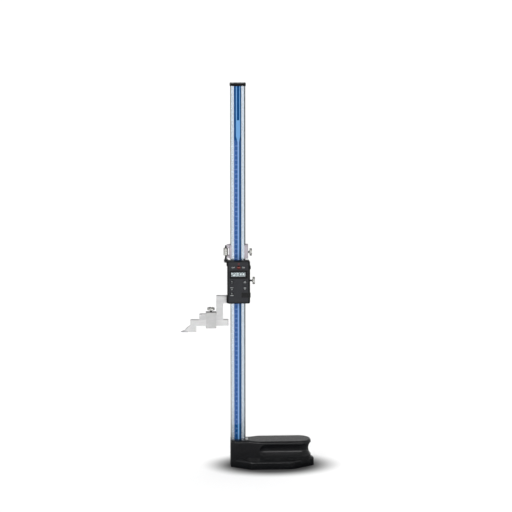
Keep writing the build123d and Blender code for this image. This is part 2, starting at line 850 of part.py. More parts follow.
def key(name, outline, x, z):
    """A moulded key: a cap that stands proud, a flange behind the wall and a stem to its switch."""
    flange_front = wall_rear + seat_gap
    flange_rear = flange_front + key_flange
    stem_end = board_front - dome_height - key_travel - slide_gap
    with BuildPart() as cap_key:
        with BuildSketch(facing_user(flange_front)):
            with Locations((x, z)):
                outline(0)
        extrude(amount=flange_front - case_front + key_proud)
        fillet(cap_key.faces().sort_by(Axis.Y)[0].edges(), radius=key_edge_round)
        with BuildSketch(facing_user(flange_rear)):
            with Locations((x, z)):
                outline(key_flange_width)
        extrude(amount=key_flange)
        with BuildSketch(facing_user(flange_rear)):
            with Locations((x, z)):
                Circle(key_stem_radius)
        extrude(amount=flange_rear - stem_end)
    save(cap_key, name)


for key_name, (key_x, key_z, (key_width, key_height)) in keys.items():
    key(
        key_name,
        lambda grow: RectangleRounded(
            key_width + 2 * grow, key_height + 2 * grow, radius=key_round + grow / 2
        ),
        key_x,
        key_z,
    )
key("power_button", lambda grow: Circle(power_radius + grow), power_x, power_z)

# ---------------------------------------------------------------------------------------------
# Fine adjustment: a carriage that locks to the column, and a nut that drives the slider from it.
# ---------------------------------------------------------------------------------------------
carriage_pocket_x = channel_side + carriage_gib_thickness + gib_back_room
wing_front = -5.5
carriage_rear = frame_rear + carriage_back_thickness

with BuildPart() as carriage:
    block(
        -channel_side - carriage_wall, carriage_right, frame_front, carriage_rear,
        carriage_bottom, carriage_top,
    )  # fmt: skip
    chamfer(carriage.edges().filter_by(Axis.Z), length=0.8)
    block(carriage_left, -channel_side, wing_front, frame_rear, wing_bottom, carriage_top)
    block(
        -channel_side, channel_side, channel_front, frame_rear, carriage_bottom, carriage_top,
        mode=Mode.SUBTRACT,
    )  # fmt: skip
    block(
        -lip_inner, lip_inner, frame_front, channel_front, carriage_bottom, carriage_top,
        mode=Mode.SUBTRACT,
    )  # fmt: skip
    block(
        carriage_left, notch_right, wing_front, frame_rear, nut_bottom - panel_gap, nut_top + panel_gap,
        mode=Mode.SUBTRACT,
    )  # fmt: skip
    block(
        channel_side, carriage_pocket_x,
        -carriage_gib_half_depth - seat_gap, carriage_gib_half_depth + seat_gap,
        carriage_lock_z - carriage_gib_half - seat_gap, carriage_lock_z + carriage_gib_half + seat_gap,
        mode=Mode.SUBTRACT,
    )  # fmt: skip
    with BuildSketch(facing_right(carriage_right)):
        with Locations((0, carriage_lock_z)):
            Circle(stem_radius + seat_gap)
    extrude(amount=carriage_pocket_x - carriage_right, mode=Mode.SUBTRACT)
save(carriage, "carriage_frame")

carriage_gib_face = channel_side - gib_play + carriage_gib_thickness
with BuildPart() as carriage_gib:
    block(
        channel_side - gib_play, carriage_gib_face,
        -carriage_gib_half_depth, carriage_gib_half_depth,
        carriage_lock_z - carriage_gib_half, carriage_lock_z + carriage_gib_half,
    )  # fmt: skip
    chamfer(carriage_gib.edges().filter_by(Axis.Y), length=0.4)
save(carriage_gib, "carriage_gib")

carriage_knob_x = 24.7
thumb_screw(
    "carriage_lock_screw",
    facing_right(carriage_gib_face + tip_gap).shift_origin(
        (carriage_gib_face + tip_gap, 0, carriage_lock_z)
    ),
    length=carriage_knob_x + 1 - carriage_gib_face,
    knob_at=carriage_knob_x - carriage_gib_face,
)

eye_back = ear_front - 0.02
eye_thickness = 4.0
eye_front = eye_back - eye_thickness
rod_foot_z = rod_eye_z + pivot_screw_radius + 1

with BuildPart() as rod:
    with BuildSketch(facing_user(eye_back)):
        with Locations((rod_x, rod_eye_z)):
            Circle(rod_eye_radius)
            Circle(pivot_screw_radius + seat_gap, mode=Mode.SUBTRACT)
    extrude(amount=eye_thickness)
    with BuildSketch(Plane.XY.offset(rod_foot_z)):
        with Locations((rod_x, rod_y)):
            Circle(rod_radius)
    extrude(amount=rod_top - rod_foot_z)
    chamfer(rod.faces().sort_by(Axis.Z)[-1].edges(), length=0.5)
save(rod, "adjusting_screw")

pivot_head_radius = 2.75
pivot_head_thickness = 1.5
pivot_screw_length = 7.5
pivot_slot = 0.7
with BuildPart() as pivot_screw:
    with BuildSketch(facing_user(eye_front)):
        with Locations((rod_x, rod_eye_z)):
            Circle(pivot_head_radius)
    extrude(amount=pivot_head_thickness)
    chamfer(pivot_screw.faces().sort_by(Axis.Y)[0].edges(), length=0.4)
    with BuildSketch(facing_user(eye_front - pivot_head_thickness)):
        with Locations((rod_x, rod_eye_z)):
            Rectangle(2 * pivot_head_radius + 0.1, pivot_slot)
    extrude(amount=-pivot_slot, mode=Mode.SUBTRACT)
    with BuildSketch(facing_user(eye_front)):
        with Locations((rod_x, rod_eye_z)):
            Circle(pivot_screw_radius)
    extrude(amount=-pivot_screw_length)
save(pivot_screw, "pivot_screw")

nut_flutes = 20
nut_flute_radius = 0.45
with BuildPart() as nut:
    with BuildSketch(Plane.XY.offset(nut_bottom)):
        with Locations((rod_x, rod_y)):
            Circle(nut_radius)
            with PolarLocations(nut_radius, nut_flutes):
                Circle(nut_flute_radius, mode=Mode.SUBTRACT)
            Circle(rod_radius + slide_gap, mode=Mode.SUBTRACT)
    extrude(amount=nut_top - nut_bottom)
save(nut, "adjusting_nut")

# ---------------------------------------------------------------------------------------------
# Scriber: an offset steel scriber with a carbide edge, in a box clamp on the jaw bar.
# ---------------------------------------------------------------------------------------------
insert_back_x = -107.0
insert_top = reading_z + 2.2
insert_shoulder_x = -113.9
insert_edge = 0.25  # thickness of the carbide at its edge
insert_edge_half = 1.2  # and half its width there
beak_knees = ((-112.4, reading_z + 2.9), (-107.9, reading_z + 8.4))  # where the beak steepens
beak_root_z = reading_z + 13.7
scriber_top = jaw_bottom - 0.02  # flat against the underside of the jaw
heel_z = reading_z + 0.3
with BuildPart() as scriber:
    with BuildSketch(facing_user(scriber_half_thickness)):
        with BuildLine():
            Polyline(
                (scriber_tail_x, scriber_top),
                (scriber_tail_x, scriber_bottom),
                (heel_x, scriber_bottom),
                (heel_x, heel_z),
                (insert_back_x, heel_z),
                (insert_back_x, insert_top),
                (insert_shoulder_x, insert_top),
                *beak_knees,
                (scriber_neck_x, beak_root_z),
                (scriber_neck_x, scriber_top - 1.2),
                (scriber_neck_x + 1.5, scriber_top),
                close=True,
            )
        make_face()
    extrude(amount=2 * scriber_half_thickness)
    chamfer(scriber.edges().filter_by(Axis.Z).sort_by(Axis.X)[-2:], length=0.8)
save(scriber, "scriber")

with BuildPart() as insert:
    with BuildSketch(facing_user(scriber_half_thickness)):
        with BuildLine():
            Polyline(
                (scriber_tip_x, reading_z),
                (insert_back_x, reading_z),
                (insert_back_x, insert_top),
                (insert_shoulder_x, insert_top),
                (scriber_tip_x, reading_z + insert_edge),
                close=True,
            )
        make_face()
    extrude(amount=2 * scriber_half_thickness)
    # The edge narrows to a point in plan as well.
    with BuildSketch(Plane.XY.offset(reading_z - 1)):
        for side in (-1, 1):
            with BuildLine():
                Polyline(
                    (scriber_tip_x - 1, side * insert_edge_half),
                    (insert_shoulder_x, side * (scriber_half_thickness + 0.5)),
                    (scriber_tip_x - 1, side * (scriber_half_thickness + 0.5)),
                    close=True,
                )
            make_face()
    extrude(amount=6, mode=Mode.SUBTRACT)
save(insert, "carbide_tip")

clamp_gap = 0.15
with BuildPart() as clamp:
    block(clamp_left, clamp_right, -clamp_half_depth, clamp_half_depth, clamp_bottom, clamp_top)
    chamfer(clamp.edges().filter_by(Axis.X), length=0.6)
    block(
        clamp_left, clamp_right,
        -arm_half_thickness - clamp_gap, arm_half_thickness + clamp_gap,
        scriber_bottom - clamp_gap, jaw_top + clamp_gap,
        mode=Mode.SUBTRACT,
    )  # fmt: skip
    with BuildSketch(Plane.XY.offset(clamp_top)):
        with Locations((clamp_x, 0)):
            Circle(stem_radius + seat_gap)
    extrude(amount=jaw_top - clamp_top, mode=Mode.SUBTRACT)
save(clamp, "scriber_clamp")

thumb_screw(
    "clamp_screw",
    Plane(origin=(clamp_x, 0, jaw_top + 0.05)),
    length=clamp_knob_z + 1 - jaw_top,
    knob_at=clamp_knob_z - jaw_top,
)
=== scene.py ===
# %% [markdown]
# # A digital height gauge
# This is a measuring instrument for a surface plate: a ground steel column on a heavy iron base, a
# digital slider that rides on it, and a scriber in a box clamp on the slider's jaw. The solid
# pieces come from the imported CAD model. This lesson gives each of them its real finish, and makes
# one by one what a solid model is too plain for: knurls, threads, printed scales, key signs and the
# read-out.

# %% Load the frame
import math

import bmesh
import bpy
import numpy as np
from mathutils import Matrix, Vector


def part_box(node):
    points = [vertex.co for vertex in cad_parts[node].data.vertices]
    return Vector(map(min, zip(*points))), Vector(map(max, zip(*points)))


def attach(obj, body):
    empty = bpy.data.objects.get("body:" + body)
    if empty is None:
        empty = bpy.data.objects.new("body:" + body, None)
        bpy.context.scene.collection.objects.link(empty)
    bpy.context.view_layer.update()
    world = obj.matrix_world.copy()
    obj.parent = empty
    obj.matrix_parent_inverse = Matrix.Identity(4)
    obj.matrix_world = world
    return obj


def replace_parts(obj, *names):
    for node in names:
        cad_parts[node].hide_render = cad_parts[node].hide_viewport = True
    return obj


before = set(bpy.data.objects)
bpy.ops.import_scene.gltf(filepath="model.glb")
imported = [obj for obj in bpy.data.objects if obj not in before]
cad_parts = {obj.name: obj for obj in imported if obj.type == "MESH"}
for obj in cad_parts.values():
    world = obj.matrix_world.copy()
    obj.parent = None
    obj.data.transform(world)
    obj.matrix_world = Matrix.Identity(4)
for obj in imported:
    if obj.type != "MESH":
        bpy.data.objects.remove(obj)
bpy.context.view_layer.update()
MM = 0.001

# %% [markdown]
# ## Camera
# A tall, thin object is best seen from far away through a long lens, so that its column doesn't
# lean. The camera could be placed by hand, but a distance, a height angle and a turn about the
# vertical say the same in three numbers that are easy to change.

# %% Place the camera
aim = Vector((0.03845, 0.0, 0.455))
camera_distance = 6.827
camera_height_angle = math.radians(11.0)
camera_turn = math.radians(-3.0)
focal_length_px = 3230.0
picture_px = 512.0
sensor_mm = 36.0

lens = bpy.data.cameras.new("long_lens")
lens.sensor_width = sensor_mm
lens.lens = focal_length_px * sensor_mm / picture_px
camera = bpy.data.objects.new("camera", lens)
bpy.context.scene.collection.objects.link(camera)
away = Vector(
    (
        math.sin(camera_turn) * math.cos(camera_height_angle),
        -math.cos(camera_turn) * math.cos(camera_height_angle),
        math.sin(camera_height_angle),
    )
)
camera.location = aim + camera_distance * away
camera.rotation_euler = (math.pi / 2 - camera_height_angle, 0.0, camera_turn)
bpy.context.scene.camera = camera
bpy.context.scene.view_settings.view_transform = "Standard"
print("lens", round(lens.lens, 1), "mm at", [round(v, 3) for v in camera.location])

# %% [markdown]
# ## Colours and nodes
# Colours are read off a screen as sRGB hex codes, but a renderer adds light, so it needs linear
# values. One function does that sum. A second one adds a node with its settings and links in a
# single call, so that a tree of nodes can be written down as a short recipe.


# %% Helpers for colours and nodes
def linear(code):
    """Linear RGBA of an sRGB hex code: c / 12.92 if dark, else ((c + 0.055) / 1.055) ** 2.4."""
    values = np.array([int(code[i : i + 2], 16) / 255 for i in (0, 2, 4)])
    bright = ((values + 0.055) / 1.055) ** 2.4
    return (*np.where(values <= 0.04045, values / 12.92, bright).tolist(), 1.0)


def add(tree, kind, inputs=(), **settings):
    """Adds a node. An input is given a constant, or the socket that feeds it."""
    made = tree.nodes.new(kind)
    for name, value in settings.items():
        setattr(made, name, value)
    for key, value in dict(inputs).items():
        if isinstance(value, bpy.types.NodeSocket):
            tree.links.new(value, made.inputs[key])
        else:
            made.inputs[key].default_value = value
    return made


print("white is", linear("ffffff"))

# %% [markdown]
# No real surface is quite even. Each finish here is a shader whose colour, roughness and height can
# follow noise. An image would have seams and end somewhere. Noise does neither, and its blobs are
# given in millimetres of Object coordinates, so every grain has its real size.

# %% Helper for finishes
noise_swing = (0.3, 0.7)  # noise seldom leaves this range, so the whole swing happens inside it
plain_detail = 2.0


def new_finish(
    name,
    tones=None,
    sheen=None,
    relief_mm=0.0,
    tone_detail=plain_detail,
    sheen_detail=plain_detail,
    **constants,
):
    """A material whose constants are set by name, and whose other values follow noise.

    tones is (cell, dark, light): noise in blobs cell mm across swings the colour between two hex
    codes. sheen is (cell, low, high): it swings the roughness between two values. A cell of three
    numbers stretches the blobs along X, Y and Z. The last of these noises also raises the surface,
    relief_mm from its lowest to its highest point.
    """
    material = bpy.data.materials.new(name)
    material.use_nodes = True
    tree = material.node_tree
    shader = tree.nodes["Principled BSDF"]
    for socket, value in constants.items():
        label = socket.replace("_", " ").title().replace("Ior", "IOR")
        shader.inputs[label].default_value = value
    place = add(tree, "ShaderNodeTexCoord").outputs["Object"]
    in_mm = {0: place, 3: 1 / MM}
    mm = add(tree, "ShaderNodeVectorMath", in_mm, operation="SCALE", name="millimetres").outputs[0]
    for label, pattern, detail in (("tones", tones, tone_detail), ("sheen", sheen, sheen_detail)):
        if pattern is None:
            continue
        cell, low, high = pattern
        scale = (1 / np.broadcast_to(np.array(cell, float), 3)).tolist()
        spread = add(tree, "ShaderNodeMapping", {"Vector": mm, "Scale": scale}).outputs["Vector"]
        blobs = {"Vector": spread, "Scale": 1.0, "Detail": detail}
        noise = add(tree, "ShaderNodeTexNoise", blobs, name=label).outputs["Fac"]
        if label == "tones":
            ramp = add(tree, "ShaderNodeValToRGB", {"Fac": noise})
            for stop, position, code in zip(ramp.color_ramp.elements, noise_swing, (low, high)):
                stop.position, stop.color = position, linear(code)
            tree.links.new(ramp.outputs["Color"], shader.inputs["Base Color"])
        else:
            ends = dict(zip((1, 2, "To Min", "To Max"), (*noise_swing, low, high)))
            ranged = add(tree, "ShaderNodeMapRange", {"Value": noise, **ends})
            tree.links.new(ranged.outputs["Result"], shader.inputs["Roughness"])
    if relief_mm:
        bump = add(tree, "ShaderNodeBump", {"Height": noise, "Distance": relief_mm * MM})
        tree.links.new(bump.outputs["Normal"], shader.inputs["Normal"])
    return material


print("noise swings from", *noise_swing)

# %% [markdown]
# ## Floor and light
# The gauge stands on a plain white sweep. Lamps near the object would leave the far floor grey, so
# the light comes from suns with a wide disc, which light the whole floor evenly.

# %% Lay the floor
floor_half = 20.0
floor_depth = -0.0001
floor_corners = [
    (x * floor_half, y * floor_half, floor_depth) for x, y in ((-1, -1), (1, -1), (1, 1), (-1, 1))
]
floor_mesh = bpy.data.meshes.new("floor")
floor_mesh.from_pydata(floor_corners, [], [(0, 1, 2, 3)])
floor = bpy.data.objects.new("floor", floor_mesh)
bpy.context.scene.collection.objects.link(floor)
print("floor", 2 * floor_half, "m wide")

# %% [markdown]
# Close to the base the floor lies in the object's own shade, which is deepened here by painted
# shade: a soft dark patch round it. Mirror rays see a wider painted shade, so the enamel stays deep
# black. A little light of its own, where no patch is, makes the floor read as white.

# %% Shade the floor round the base
base_low, base_high = (np.array(corner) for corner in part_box("base"))
base_middle = (base_low + base_high) / 2
base_half = (base_high - base_low) / 2
# painted shade on the floor round the base, which every kind of ray sees
shade = {"reach": 0.070, "inner": 0.48, "low": 0.10}  # reach in metres out from the base
# painted shade that only mirror rays see, wider than the patch that all rays see
mirrored_painted_shade = {"reach": 0.42, "inner": 0.45, "low": 0.18}
floor_lift = 0.06  # light added so that the floor reads as white


def fade_round_base(tree, place, reach, inner, low):
    """low at the base's foot, 1 beyond reach: smooth in |p - middle| over the half sizes."""
    shift = (-base_middle * (1, 1, 0)).tolist()
    centred = add(tree, "ShaderNodeMapping", {"Vector": place, "Location": shift}).outputs[0]
    size = ((base_half + reach) * (1, 1, 0) + (0, 0, 1)).tolist()
    scaled = add(tree, "ShaderNodeVectorMath", {0: centred, 1: size}, operation="DIVIDE")
    spread = add(tree, "ShaderNodeVectorMath", {0: scaled.outputs[0]}, operation="LENGTH")
    return add(
        tree,
        "ShaderNodeMapRange",
        {"Value": spread.outputs["Value"], 1: inner, 2: 1.0, "To Min": low, "To Max": 1.0},
        interpolation_type="SMOOTHSTEP",
    ).outputs["Result"]


floor_paint = bpy.data.materials.new("white_studio_floor")
floor_paint.use_nodes = True
tree = floor_paint.node_tree
tree.nodes.clear()
place = add(tree, "ShaderNodeTexCoord").outputs["Object"]
seen = add(tree, "ShaderNodeLightPath").outputs
mirror_only = add(
    tree,
    "ShaderNodeMix",
    {"Factor": seen["Is Glossy Ray"], "A": 1.0, "B": fade_round_base(tree, place, **mirrored_painted_shade)},
    data_type="FLOAT",
)
bright = add(
    tree,
    "ShaderNodeMath",
    {0: fade_round_base(tree, place, **shade), 1: mirror_only.outputs["Result"]},
    operation="MULTIPLY",
).outputs[0]
matt = add(tree, "ShaderNodeBsdfDiffuse", {"Color": linear("f8f8f8")})
dark = add(tree, "ShaderNodeBsdfDiffuse", {"Color": linear("000000")})
lit = add(tree, "ShaderNodeMixShader", {0: bright, 1: dark.outputs[0], 2: matt.outputs[0]})
lift = seen["Is Camera Ray"]
for other, operation in (
    (seen["Is Glossy Ray"], "MAXIMUM"),
    (seen["Is Transmission Ray"], "MAXIMUM"),
    (bright, "MULTIPLY"),
    (floor_lift, "MULTIPLY"),
):
    lift = add(tree, "ShaderNodeMath", {0: lift, 1: other}, operation=operation).outputs[0]
glow = add(tree, "ShaderNodeEmission", {"Color": (1, 1, 1, 1), "Strength": lift})
both = add(tree, "ShaderNodeAddShader", {0: lit.outputs[0], 1: glow.outputs[0]})
add(tree, "ShaderNodeOutputMaterial", {"Surface": both.outputs[0]})
floor_mesh.materials.append(floor_paint)
print("floor shaded to", shade["reach"], "m round a base of", (2 * base_half).round(3))

# %% [markdown]
# Bright metal shows its room, so the room matters as much as the metal. Here it is a light tent: a
# bright band of wall near the horizon, dim walls and a dim roof above it, which darken the top
# edges of the steel, and a low strip light on the reader's side, which draws the bright line in the
# base's cove. Only mirror rays see all this: the camera sees white, and matt surfaces an even sky.

# %% Hang the light tent
sky_level = 0.30
tent_gain = 1.5
tent_profile = [  # sine of the height above the horizon, and brightness
    (0.00, 0.40), (0.06, 0.85), (0.13, 0.85), (0.20, 0.22), (0.60, 0.20), (0.78, 0.18),
]
strip_light = 5.0
strip_from, strip_to = 0.03, 0.10  # sines of the heights that the strip light spans
strip_front = -0.5  # the strip light hangs only where the direction's Y is below this
world = bpy.data.worlds.new("light_tent")
bpy.context.scene.world = world
world.use_nodes = True
tree = world.node_tree
tree.nodes.clear()
direction = add(tree, "ShaderNodeTexCoord")
split = add(tree, "ShaderNodeSeparateXYZ", {0: direction.outputs["Generated"]})
walls = add(tree, "ShaderNodeValToRGB", {"Fac": split.outputs["Z"]})
while len(walls.color_ramp.elements) < len(tent_profile):
    walls.color_ramp.elements.new(1.0)
for stop, (height, level) in zip(walls.color_ramp.elements, tent_profile):
    stop.position = height
    stop.color = (level, level, level, 1.0)
ray = add(tree, "ShaderNodeLightPath").outputs
tent = add(tree, "ShaderNodeMath", {0: walls.outputs["Color"], 1: tent_gain}, operation="MULTIPLY")
strip = strip_light
for part, limit, operation in (
    (split.outputs["Z"], strip_from, "GREATER_THAN"),
    (split.outputs["Z"], strip_to, "LESS_THAN"),
    (split.outputs["Y"], strip_front, "LESS_THAN"),
):
    inside = add(tree, "ShaderNodeMath", {0: part, 1: limit}, operation=operation)
    narrowed = {0: strip, 1: inside.outputs[0]}
    strip = add(tree, "ShaderNodeMath", narrowed, operation="MULTIPLY").outputs[0]
tent = add(tree, "ShaderNodeMath", {0: tent.outputs[0], 1: strip}, operation="ADD")
level = sky_level
for kind_of_ray, brightness in (
    ("Is Glossy Ray", tent.outputs[0]),
    ("Is Camera Ray", 1.0),
    ("Is Transmission Ray", 1.0),
):
    choice = {"Factor": ray[kind_of_ray], "A": level, "B": brightness}
    level = add(tree, "ShaderNodeMix", choice, data_type="FLOAT").outputs["Result"]
sky = add(tree, "ShaderNodeBackground", {"Color": (1, 1, 1, 1), "Strength": level})
add(tree, "ShaderNodeOutputWorld", {"Surface": sky.outputs[0]})
print("sky", sky_level, "and a strip light of", strip_light)

# %% [markdown]
# Two grey cards, one each side, are dimmer than the tent's walls and draw the edges of polished
# steel. Only mirror rays see them. They could be lamps, but a plain sheet that glows can be hidden
# from every other kind of ray by its own switches.

# %% Stand a card at each side
card_half = 0.9
card_top = 1.3
cards = {"right_card": (0.8, 0.42), "left_card": (-0.8, 0.50)}  # where along X, and brightness
for name, (x, brightness) in cards.items():
    mesh = bpy.data.meshes.new(name)
    foot = [(x, -card_half, 0), (x, card_half, 0)]
    top = [(x, card_half, card_top), (x, -card_half, card_top)]
    mesh.from_pydata(foot + top, [], [(0, 1, 2, 3)])
    material = bpy.data.materials.new(name)
    material.use_nodes = True
    tree = material.node_tree
    tree.nodes.clear()
    glow = add(tree, "ShaderNodeEmission", {"Color": (1, 1, 1, 1), "Strength": brightness})
    add(tree, "ShaderNodeOutputMaterial", {"Surface": glow.outputs[0]})
    mesh.materials.append(material)
    made = bpy.data.objects.new(name, mesh)
    bpy.context.scene.collection.objects.link(made)
    made.visible_camera = made.visible_diffuse = made.visible_shadow = False
    made.visible_transmission = made.visible_volume_scatter = False
print("cards", *cards)

# %% [markdown]
# Two suns stand for soft boxes, one overhead and a little behind, one in front at the left. A real
# soft box near the gauge would light its two ends unevenly, and a sun doesn't. The overhead one is
# hidden from mirror rays, which see the tent's own roof instead.


# %% Light the suns
def sun(name, strength, disc_deg, height_deg, turn_deg):
    """A sun that shines from height_deg above the floor, turn_deg round from the reader's side."""
    light = bpy.data.lights.new(name, "SUN")
    light.energy = strength
    light.angle = math.radians(disc_deg)
    lamp = bpy.data.objects.new(name, light)
    bpy.context.scene.collection.objects.link(lamp)
    lamp.rotation_euler = (math.radians(90 - height_deg), 0, math.radians(turn_deg))
    return lamp


overhead = sun("overhead_softbox", strength=2.0, disc_deg=60, height_deg=72, turn_deg=180)
overhead.visible_glossy = False
front = sun("front_softbox", strength=1.0, disc_deg=40, height_deg=28, turn_deg=-25)
print("suns", overhead.name, front.name)

# %% [markdown]
# ## Finishes
# Each material below is named for what the real one is and how its surface was made. The base is
# grey cast iron, sprayed with a black machine enamel that dries with a fine leathery texture. The
# texture breaks up reflections, and the thick film softens every edge.

# %% Enamel on the casting
# Cells of about 1.5 mm with a finer orange peel inside them give a deep black with a broken gloss.
enamel = new_finish(
    "black_machine_enamel",
    tones=(9.0, "131416", "191a1c"),
    sheen=(1.5, 0.15, 0.24),
    sheen_detail=3.0,
    relief_mm=0.03,
    specular_ior_level=0.4,
)
print("made", enamel.name)

# %% [markdown]
# The column is a stainless bar, surface-ground along its length: the grit leaves lines a few
# hundredths of a millimetre apart. They are drawn here ten times as wide, because finer ones would
# vanish in the render. Down each of its two bevelled edges runs a band of painted shade, the right
# one darker.

# %% Ground steel of the column
painted_edge_shades = (  # the middle and half width of each band, in mm across the column, and its colour
    (-14.85, 0.85, "94948a"),
    (14.5, 1.2, "4c4e52"),
)
# Lines 0.4 mm wide and 60 mm long give soft upright streaks.
column_steel = new_finish(
    "ground_stainless", sheen=((0.4, 0.4, 60.0), 0.19, 0.25), relief_mm=0.0008, metallic=1.0
)
tree = column_steel.node_tree
place = tree.nodes["millimetres"].outputs["Vector"]
across = add(tree, "ShaderNodeSeparateXYZ", {0: place}).outputs["X"]
layers = [(tree.nodes["sheen"].outputs["Fac"], "c9d3de")]
# each band paints shade down one bevelled edge of the column
for middle, half, code in painted_edge_shades:
    band = add(tree, "ShaderNodeMath", {0: across, 1: middle, 2: half}, operation="COMPARE")
    layers.append((band.outputs[0], code))
colour = linear("c1ccd7")
for share, code in layers:
    mixed = {0: share, 6: colour, 7: linear(code)}
    colour = add(tree, "ShaderNodeMix", mixed, data_type="RGBA").outputs[2]
tree.links.new(colour, tree.nodes["Principled BSDF"].inputs["Base Color"])
print("made", column_steel.name, "with", len(painted_edge_shades), "painted edge shades")

# %% [markdown]
# The slider, scriber and clamps are steel that was blasted with fine beads and then chromed. Such a
# plate is bright but shows no clear reflection. The finish is given in four tones: one for the
# slider's pieces, lighter for the scriber, darker for the clamp, and warmer and darker for the
# carriage.


# %% Satin chrome
def satin_chrome(name, dark, light):
    """Satin-plated steel: a fine blasted surface under a thin chrome plate."""
    return new_finish(
        name,
        tones=((14.0, 14.0, 5.0), dark, light),
        sheen=(0.35, 0.34, 0.46),
        sheen_detail=3.0,
        relief_mm=0.006,
        metallic=1.0,
    )


# one finish in four tones, which differ only in their colour
satin_steel = satin_chrome("satin_chrome_plate", "bcbcbd", "c5c5c5")
scriber_steel = satin_chrome("lighter_satin_chrome_plate", "c4c4c4", "cdcdcd")
clamp_steel = satin_chrome("darker_satin_chrome_plate", "b4b4b4", "bbbbbb")
carriage_steel = satin_chrome("warm_satin_chrome_plate", "a8a1a9", "b0aab1")
print("satin chrome:", satin_steel.name, scriber_steel.name, clamp_steel.name, carriage_steel.name)

# %% [markdown]
# The small parts have finishes of their own: plated knobs, blackened and zinc-plated screws, a
# carbide tip on the scriber, and brass strips that slide on the column without scoring it.

# %% Finishes of the small parts
# Polished nickel plate on a knurl: sharp glints, slightly dull in patches.
nickel = new_finish(
    "bright_nickel_plate",
    sheen=(0.8, 0.12, 0.24),
    sheen_detail=3.0,
    base_color=linear("bebeba"),
    metallic=1.0,
)
# Blackened steel: a thin oxide that stays slightly metallic, with faint cool clouds.
oxide = new_finish(
    "black_oxide_steel", tones=(2.5, "161617", "232327"), sheen=(0.5, 0.32, 0.48), metallic=0.6
)
# Zinc-plated screws: pale, slightly cloudy metal.
zinc = new_finish(
    "zinc_plated_steel", tones=(1.2, "acaeb3", "c8cace"), sheen=(0.6, 0.25, 0.4), metallic=1.0
)
# Tungsten carbide, lapped: a dense grey metal with a fine even sheen.
carbide = new_finish(
    "lapped_tungsten_carbide",
    tones=(0.7, "abacb0", "bcbdc0"),
    sheen=((3.0, 0.2, 3.0), 0.2, 0.32),
    metallic=1.0,
)
# Brass strip as drawn, for the gibs, with faint lines along Z.
drawn_lines = (0.3, 0.3, 12.0)
brass = new_finish(
    "drawn_brass",
    tones=(drawn_lines, "bd9850", "d3ae66"),
    sheen=(drawn_lines, 0.25, 0.4),
    metallic=1.0,
)
# Gold-plated spring metal for the switch domes and the battery contact: warm and bright.
contact = new_finish(
    "gold_plated_spring_metal",
    tones=(0.8, "cba95c", "e0bf75"),
    sheen=(0.3, 0.2, 0.35),
    metallic=1.0,
)
print("small parts:", nickel.name, oxide.name, zinc.name, carbide.name, brass.name, contact.name)

# %% [markdown]
# The display head is moulded in ABS with a fine spark-eroded texture, and its front is a printed
# polycarbonate sheet. The keys are softer and duller than the case, and the power button is red.


# %% Plastics
def moulded(name, tones, cell, depth, sheen):
    """A moulded plastic: a spark texture of given cell and depth in mm, with wider clouds."""
    return new_finish(
        name,
        tones=(6 * cell, *tones),
        sheen=(cell, *sheen),
        relief_mm=depth,
        ior=1.5,
        specular_ior_level=0.15,
    )


case_abs = moulded("spark_textured_abs", ("0a0a0b", "0f0f10"), 0.35, 0.02, sheen=(0.36, 0.46))
cap_abs = moulded("gloss_black_abs", ("030305", "060608"), 0.5, 0.01, sheen=(0.18, 0.26))
door_abs = moulded("battery_door_abs", ("1d1d1e", "242425"), 0.35, 0.02, sheen=(0.4, 0.5))
face_film = moulded(
    "satin_polycarbonate_sheet", ("313236", "38393c"), 0.25, 0.004, sheen=(0.4, 0.5)
)
key_rubber = moulded("soft_key_plastic", ("27282b", "2d2e31"), 0.3, 0.006, sheen=(0.5, 0.62))
red_plastic = moulded("red_moulded_plastic", ("360a0c", "420e10"), 0.5, 0.003, sheen=(0.28, 0.38))
elastomer = moulded("conductive_elastomer", ("202020", "343434"), 0.2, 0.01, sheen=(0.6, 0.7))
print("plastics:", case_abs.name, face_film.name, key_rubber.name, red_plastic.name)

# %% [markdown]
# A liquid crystal cell is two sheets of glass with a silvery film behind them. It looks like satin
# paper with a cool tone. In front of it is a clear acrylic window, which is only seen by its gloss,
# so it is made nearly open by alpha rather than by refraction: light then reaches the cell freely.

# %% Display, window and circuit boards
# The cell's silvery film has a faint streaky grain, and a faint painted glow, though the cell is no
# lamp.
lcd_cell = new_finish(
    "liquid_crystal_cell",
    tones=((1.5, 1.5, 0.4), "eaf6fb", "f8feff"),
    tone_detail=3.0,
    roughness=0.35,
    emission_color=linear("e8f4ff"),
    emission_strength=0.14,
)
# Clear sheet: mostly open, with the gloss of a polished surface and very faint smears.
acrylic = new_finish(
    "clear_acrylic", sheen=(4.0, 0.04, 0.09), base_color=linear("dfeeee"), ior=1.49, alpha=0.12
)
# Green solder mask over glass cloth, whose 0.5 mm threads show as fine bumps.
board_green = new_finish(
    "green_glass_fibre_board",
    tones=(0.5, "174d2f", "226844"),
    tone_detail=1.0,
    relief_mm=0.01,
    roughness=0.4,
)
print("display:", lcd_cell.name, acrylic.name, board_green.name)

# %% [markdown]
# The scale is a film printed in blues and bonded into a shallow bed in the column. Its coloured
# bands could be separate strips of mesh, but they are ink on one film, so they are drawn in its
# material. A pale stripe runs up between a blue and a navy band. Near the top it tapers out into a
# wide field with a dark bar down its middle: its two edges are simply functions of the height.

# %% Measure the bands of the printed film
stripe_edges = (-0.5, 2.5)  # mm across the column
field_edges = (-3.9, 4.9)
taper = (700.0, 712.0)  # heights between which the stripe becomes the field
bar_edges = (-1.9, 3.2)
bar_bottom = 746.0
deep_below, deep_above = 92.0, 704.0  # heights past which the blues are mixed darker
mottle_cell = (3.0, 3.0, 25.0)  # mm, the size of a patch that took the ink unevenly
print("stripe", stripe_edges, "mm, field", field_edges, "mm")

# %% [markdown]
# In the material, each test of a point is a node that gives 1 or 0, and each ink is mixed over the
# ones before it by its own test. The tests are easier to read as a table than as nested calls.

